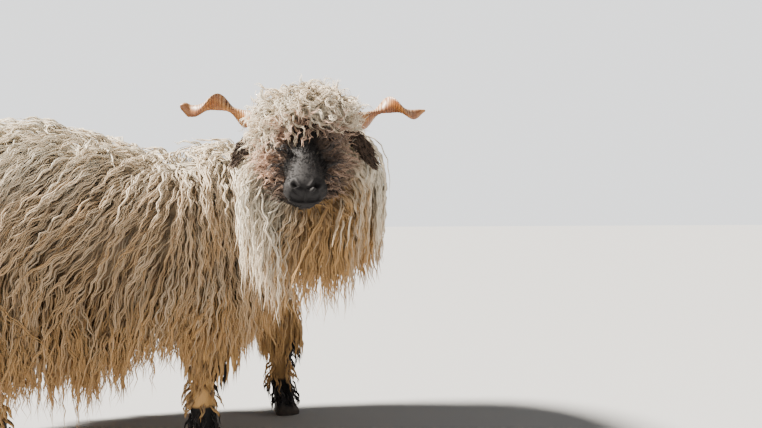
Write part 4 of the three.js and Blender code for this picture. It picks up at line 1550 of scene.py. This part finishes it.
def faceFur(tree, shape):
    points, faces = buildHeadSkin()
    head = toHead(points)
    rings = headMesh["faceRings"] + headMesh["muzzleRings"]
    places = loftPlaces(points, headMesh["sides"], rings, 0.01, 0.55)
    away = np.stack([-np.ones(len(head)), 0.02 * head[:, 1], -0.1 * np.ones(len(head))], axis=1)
    away += 0.4 * np.stack([mixedField(head, 34, 60 + k) for k in range(3)], axis=1)
    uneven = 1 + 0.28 * mixedField(head, 22, 71)
    nose = smoothStep(head[:, 0], 60, 140)
    lips = smoothStep(head[:, 0], 146, 162)
    host = tuftHost("faceHost", points, faces, {
        "marking": markingsAt(points),
        "way": unit(away) @ headTurn.T,
        "tuftSize": (tuftSizes["length"] * (1 - nose) + tuftSizes["nearNose"] * nose) * uneven,
        "tuftDensity": (1 - 0.85 * lips) * smoothStep(head[:, 0], -30, 0) * (0.55 + 0.45 * nose),
    }, unwrapCorners(places, faces))
    growTufts("faceFur", host, shape, tree, tuftSizes["faceDensity"])


def earFur(tree, shape, side, name, left):
    points, faces = buildEarSkin(side)
    run = earRun(side)
    along = unit(run[-1] - run[0]) + np.array([0, 0, -0.1])
    marks = markingsAt(points)
    marks[:, 0], marks[:, 2] = 1, 0.12
    places = loftPlaces(points, earMesh["sides"], earMesh["rings"], left, 0.17)
    host = tuftHost("earHost", points, faces, {
        "marking": marks,
        "way": np.broadcast_to(unit(along) @ headTurn.T, points.shape),
        "tuftSize": np.full(len(points), tuftSizes["earLength"]),
        "tuftDensity": np.ones(len(points)),
    }, places[faces].reshape(-1, 2))
    growTufts("earFur." + name, host, shape, tree, tuftSizes["earDensity"])


def buildShortFur():
    tree, shape = buildTuftTree(), tuftShape()
    faceFur(tree, shape)
    earFur(tree, shape, -1, "right", 0.62)
    earFur(tree, shape, 1, "left", 0.81)
    bpy.data.objects.remove(shape)


buildShortFur()

bothSides = ((-1, "right"), (1, "left"))
pupilHalf = (5.6, 2.2)  # half width and half height of the pupil's slot
eyeGloss = {"Roughness": 0.15, "Coat Weight": 1.0, "Coat Roughness": 0.03}


def eyeAt(side):
    return np.array([2, side * body["eyeSpan"], 8])


def eyeMaterial():
    material, tree, shader = newMaterial("eye", eyeGloss)
    gaze = fieldNode(tree, "gaze")
    across, upward = (mathNode(tree, "DIVIDE", gaze[k], pupilHalf[k]) for k in (0, 1))
    wide, high = (mathNode(tree, "POWER", value, 2.0) for value in (across, upward))
    inPupil = mathNode(tree, "LESS_THAN", mathNode(tree, "ADD", wide, high), 1.0)
    colour = mixNode(tree, inPupil, (0.16, 0.075, 0.025, 1), (0.004, 0.003, 0.003, 1))
    link(tree, colour, shader["Base Color"])
    return material


eyeFinish = eyeMaterial()
for side, name in bothSides:
    ball = Ball(fromHead(eyeAt(side)), (body["eyeRadius"] - 0.2,) * 3, headTurn)
    points, faces = ball.shell(28, 36)
    gaze = (points - ball.centre) @ headTurn
    field = np.stack([gaze[:, 0], gaze[:, 2], gaze[:, 1] * side], axis=1)
    addPiece("eye." + name, meshFrom("eye." + name, points, faces, {"gaze": field}), eyeFinish,
             ["eye_" + name])

# Lids: size of the almond opening, and the rings round it as shares of that size and heights
lids = {"opening": (9.6, 5.4), "lowerShare": 0.8, "sides": 64, "dome": 21, "domeBack": 8, "widest": 19}
lidRings = [
    (1.0, 0.2), (1.0, 1.1), (1.12, 2.0), (1.45, 2.2), (1.9, 0.6), (2.3, -3.5), (1.7, -4.0), (1.15, -2.0),
]


# A soft rim round the opening, sunk into the face at its outer edge
def lidShell(side):
    turns = around(lids["sides"])
    long, high = lids["opening"]
    lower = np.where(np.sin(turns) > 0, 1, lids["lowerShare"])
    opening = np.stack([long * np.cos(turns), high * np.sin(turns) * lower], axis=1)
    rings = []
    for share, lift in lidRings:
        flat = opening * share + (opening / np.linalg.norm(opening, axis=1)[:, None]) * (share - 1) * 4
        reach = np.minimum(np.linalg.norm(flat, axis=1), lids["widest"])
        dome = np.sqrt(np.maximum(lids["dome"] ** 2 - reach**2, 0)) - lids["domeBack"] + lift
        rings.append(np.stack([flat[:, 0], side * dome, flat[:, 1]], axis=1))
    points = np.stack(rings).reshape(-1, 3)
    faces = wallFaces(len(rings), lids["sides"], True)
    return fromHead(points + eyeAt(side)), faces


for side, name in bothSides:
    points, faces = lidShell(side)
    marks = np.tile([1.0, 0, 0.0], (len(points), 1))
    strand = np.tile([1.0, 0, 0.5], (len(points), 1))
    mesh = meshFrom("lids." + name, points, outwards(points, faces), {"marking": marks, "strand": strand})
    addPiece("lids." + name, mesh, skinCoat)

# Horns: stations give the run out from the middle of the head, height, radius of the coil,
# half breadth and half thickness
hornStations = np.array([
    (20, 816, 8, 16, 13),
    (62, 820, 13, 17, 12),
    (104, 825, 17, 18.5, 10),
    (146, 830, 17, 18, 9),
    (188, 833, 15, 17.5, 7),
    (230, 835, 11, 11.5, 5.5),
    (258, 836, 7, 9, 4),
    (272, 837, 3, 4, 2),
])
horn = {
    "root": (97, -425),  # middle of the head, on the floor plan
    "pitch": 117,  # run of one turn of the coil
    "crest": 190,  # run at which the coil is highest
    "ribs": 44,
    "ribHeight": 0.9,
    "rings": 348,
    "sides": 24,
}
hornWear = {"right": (1, 1), "left": (0.25, 0)}  # how thick the tip has worn, and how blunt


def hornShell(side, name):
    shares = np.linspace(0, 1, horn["rings"] + 1)
    run, height, coil = smoothCurve(hornStations[:, :3], shares).T
    broad, thin = smoothCurve(hornStations[:, 3:], shares).T
    across = np.array([0.988, -0.1535, 0]) * side
    back = np.array([0.1535, 0.988, 0])
    up = np.array([0, 0, 1.0])
    phase = np.pi / 2 + 2 * np.pi * (run - horn["crest"]) / horn["pitch"]
    root = np.array([*horn["root"], 0])
    centre = (root + across * run[:, None] + up * (height + coil * np.sin(phase))[:, None]
              + back * (coil * np.cos(phase))[:, None])
    wornAndLit = smoothStep(run, 185, 240) * hornWear[name][0]
    blunt = smoothStep(run, 246, 272) * hornWear[name][1]
    broad, thin = broad * (1.08 + 0.22 * wornAndLit + 1.1 * blunt), thin * (1.15 + 0.9 * wornAndLit + 0.8 * blunt)
    growth = run + 2.2 * np.sin(run / 11) + 1.4 * np.sin(run / 5.3 + 1)
    rib = np.abs(np.sin(np.pi * horn["ribs"] * (growth - run[0]) / (run[-1] - run[0]))) ** 0.7 - 0.6
    rib = rib * horn["ribHeight"] * (1 - smoothStep(run, 225, 262))
    angle = around(horn["sides"])
    a = (broad + rib)[:, None] * np.cos(angle)
    b = (thin + rib)[:, None] * np.sin(angle)
    sine, cosine = np.sin(phase)[:, None], np.cos(phase)[:, None]
    rings = centre[:, None] + up * (a * sine + b * cosine)[..., None]
    rings = rings + back * (a * cosine - b * sine)[..., None]
    points, faces = closedLoft(rings, last=rings[-1].mean(axis=0) + across * 2.5)
    field = np.stack([
        np.repeat(run / hornStations[-1, 0], len(angle)),
        np.tile(np.cos(angle), len(run)),
        np.repeat(rib / horn["ribHeight"], len(angle)),
    ], axis=1)
    return points, faces, np.vstack([field, field[:1], field[-1:]])


hornColours = {
    "dark": (0.24, 0.07, 0.012, 1),
    "light": (0.6, 0.26, 0.06, 1),
    "groove": (0.04, 0.018, 0.008, 1),
    # cream of raised ribs that face up: painted highlight
    "wornAndLit": (0.75, 0.6, 0.42, 1),
}


def hornMaterial():
    material, tree, shader = newMaterial("horn", {"Roughness": 0.45})
    ridge = fieldNode(tree, "grain")[2]
    patches = times(tree, mathNode(tree, "SUBTRACT", addGrain(tree, 45, 0.35), 0.42), 3.0, True)
    horny = mixNode(tree, patches, hornColours["dark"], hornColours["light"])
    raised = times(tree, mathNode(tree, "ADD", ridge, 0.25), 1.1, True)
    colour = mixNode(tree, raised, mixNode(tree, 0.6, horny, hornColours["groove"]), horny)
    normal = tree.nodes.new("ShaderNodeSeparateXYZ")
    link(tree, tree.nodes.new("ShaderNodeNewGeometry").outputs["Normal"], normal.inputs[0])
    # Painted highlight: raised ribs that face up turn cream, as if lit from above
    upward = times(tree, mathNode(tree, "ADD", normal.outputs[2], 0.1), 0.8, True)
    colour = mixNode(tree, times(tree, raised, upward), colour, hornColours["wornAndLit"])
    link(tree, colour, shader["Base Color"])
    return material


hornFinish = hornMaterial()
for side, name in bothSides:
    points, faces, field = hornShell(side, name)
    mesh = meshFrom("horn." + name, points, faces, {"grain": field})
    addPiece("horn." + name, mesh, hornFinish, ["horn_" + name])

# Hooves: two claws a foot with growth rings; sizes at the floor, the rim and the top
claw = {
    "heights": (0, 12, body["hoofTop"]),
    "halfLength": (35, 35.5, 25.5),
    "halfWidth": (14.5, 15.5, 14),
    "forward": (6, 5, -4),
    "aside": 17,
    "ring": 0.35,
    "rings": 26,
    "sides": 36,
}


def clawShell(side):
    angle = around(claw["sides"])
    rings = []
    for share in np.linspace(0, 1, claw["rings"]):
        z = share * body["hoofTop"]
        length, width, move = (np.interp(z, claw["heights"], claw[key])
                               for key in ("halfLength", "halfWidth", "forward"))
        ridge = claw["ring"] * math.sin(share * 60)
        narrow = 1 - 0.18 * np.cos(angle)
        soften = 1 - 0.06 * (1 - min(1, share / 0.06))
        rings.append(np.stack([
            move + (length * soften + ridge) * np.cos(angle),
            side * claw["aside"] + (width * soften + ridge) * narrow * np.sin(angle),
            np.full(len(angle), z),
        ], axis=1))
    return closedLoft(np.stack(rings))


def hoofMaterial():
    material, tree, shader = newMaterial("hoof", {"Roughness": 0.5})
    colour = mixNode(tree, addGrain(tree, 90, 0.5), (0.012, 0.01, 0.009, 1), (0.09, 0.07, 0.055, 1))
    link(tree, colour, shader["Base Color"])
    return material


hoofFinish = hoofMaterial()
for legName, stations in legs.items():
    hoofName = legName.replace("leg", "hoof")
    points, faces = joinShells([clawShell(-1), clawShell(1)])
    foot = np.array([*stations[-1][:2], 0])
    mesh = meshFrom(hoofName + ".claws", points + foot, faces)
    addPiece(hoofName + ".claws", mesh, hoofFinish, [hoofName])

studio = {
    "floorHalf": 30,
    "floorColour": (0.345, 0.35, 0.355, 1),
    "sky": ((0.9, 0.91, 0.93, 1), 0.22),  # colour and strength that light the model
    "backdrop": ((0.93, 0.94, 0.95, 1), 1.9),  # and those that are seen behind it
    "lightsAimAt": (0, 0, 0.55),
}
# Kind, place, power, angle of the sun or width of the panel, and colour
lights = {
    "key": ("SUN", (-3.2, 0.5, 3.8), 28.0, 0.16, (1.0, 0.93, 0.83)),
    "fill": ("AREA", (-1.6, -3.4, 1.7), 7, 2.4, (1.0, 0.96, 0.9)),
    "side": ("AREA", (3.0, -1.2, 1.8), 24, 1.8, (1.0, 0.93, 0.84)),
}


def buildFloor():
    half = studio["floorHalf"]
    corners = [(-half, -half, 0), (half, -half, 0), (half, half, 0), (-half, half, 0)]
    mesh = bpy.data.meshes.new("floor")
    mesh.from_pydata(corners, [], [(0, 1, 2, 3)])
    floor = placeObject("floor", mesh)
    paint = {"Roughness": 0.9, "Base Color": studio["floorColour"]}
    mesh.materials.append(newMaterial("floorPaint", paint)[0])


# The backdrop is seen by the camera alone, and the sky lights the rest
def buildWorld():
    world = bpy.data.worlds.new("studio")
    world.use_nodes = True
    tree = world.node_tree
    blend = tree.nodes.new("ShaderNodeMixShader")
    link(tree, tree.nodes.new("ShaderNodeLightPath").outputs["Is Camera Ray"], blend.inputs[0])
    grounds = (tree.nodes["Background"], tree.nodes.new("ShaderNodeBackground"))
    for ground, key, socket in zip(grounds, ("sky", "backdrop"), (1, 2)):
        ground.inputs[0].default_value, ground.inputs[1].default_value = studio[key]
        link(tree, ground.outputs[0], blend.inputs[socket])
    link(tree, blend.outputs[0], tree.nodes["World Output"].inputs[0])
    bpy.context.scene.world = world


def buildLights():
    for name, (kind, place, power, size, colour) in lights.items():
        data = bpy.data.lights.new(name, kind)
        data.energy = power
        setattr(data, "angle" if kind == "SUN" else "size", size)
        data.color = colour
        lamp = placeObject(name, data)
        lamp.location = place
        aim = Vector(studio["lightsAimAt"]) - Vector(place)
        lamp.rotation_euler = aim.to_track_quat("-Z", "Y").to_euler()


view = {
    "at": (-144.7, -1985.2, 600),  # in the body's own millimetres
    "heading": -15,  # degrees from +Y, level
    "focal": 700,  # in pixels of a frame this wide
    "frame": 762,
    "sensor": 36,
}


def buildCamera():
    data = bpy.data.cameras.new("camera")
    data.lens = view["sensor"] * view["focal"] / view["frame"]
    data.sensor_width = view["sensor"]
    camera = placeObject("camera", data)
    camera.location = Vector(toFrame(view["at"]))
    camera.rotation_euler = (math.radians(90), 0, math.radians(view["heading"]))
    bpy.context.scene.camera = camera


buildFloor()
buildWorld()
buildLights()
buildCamera()


print("scene built")
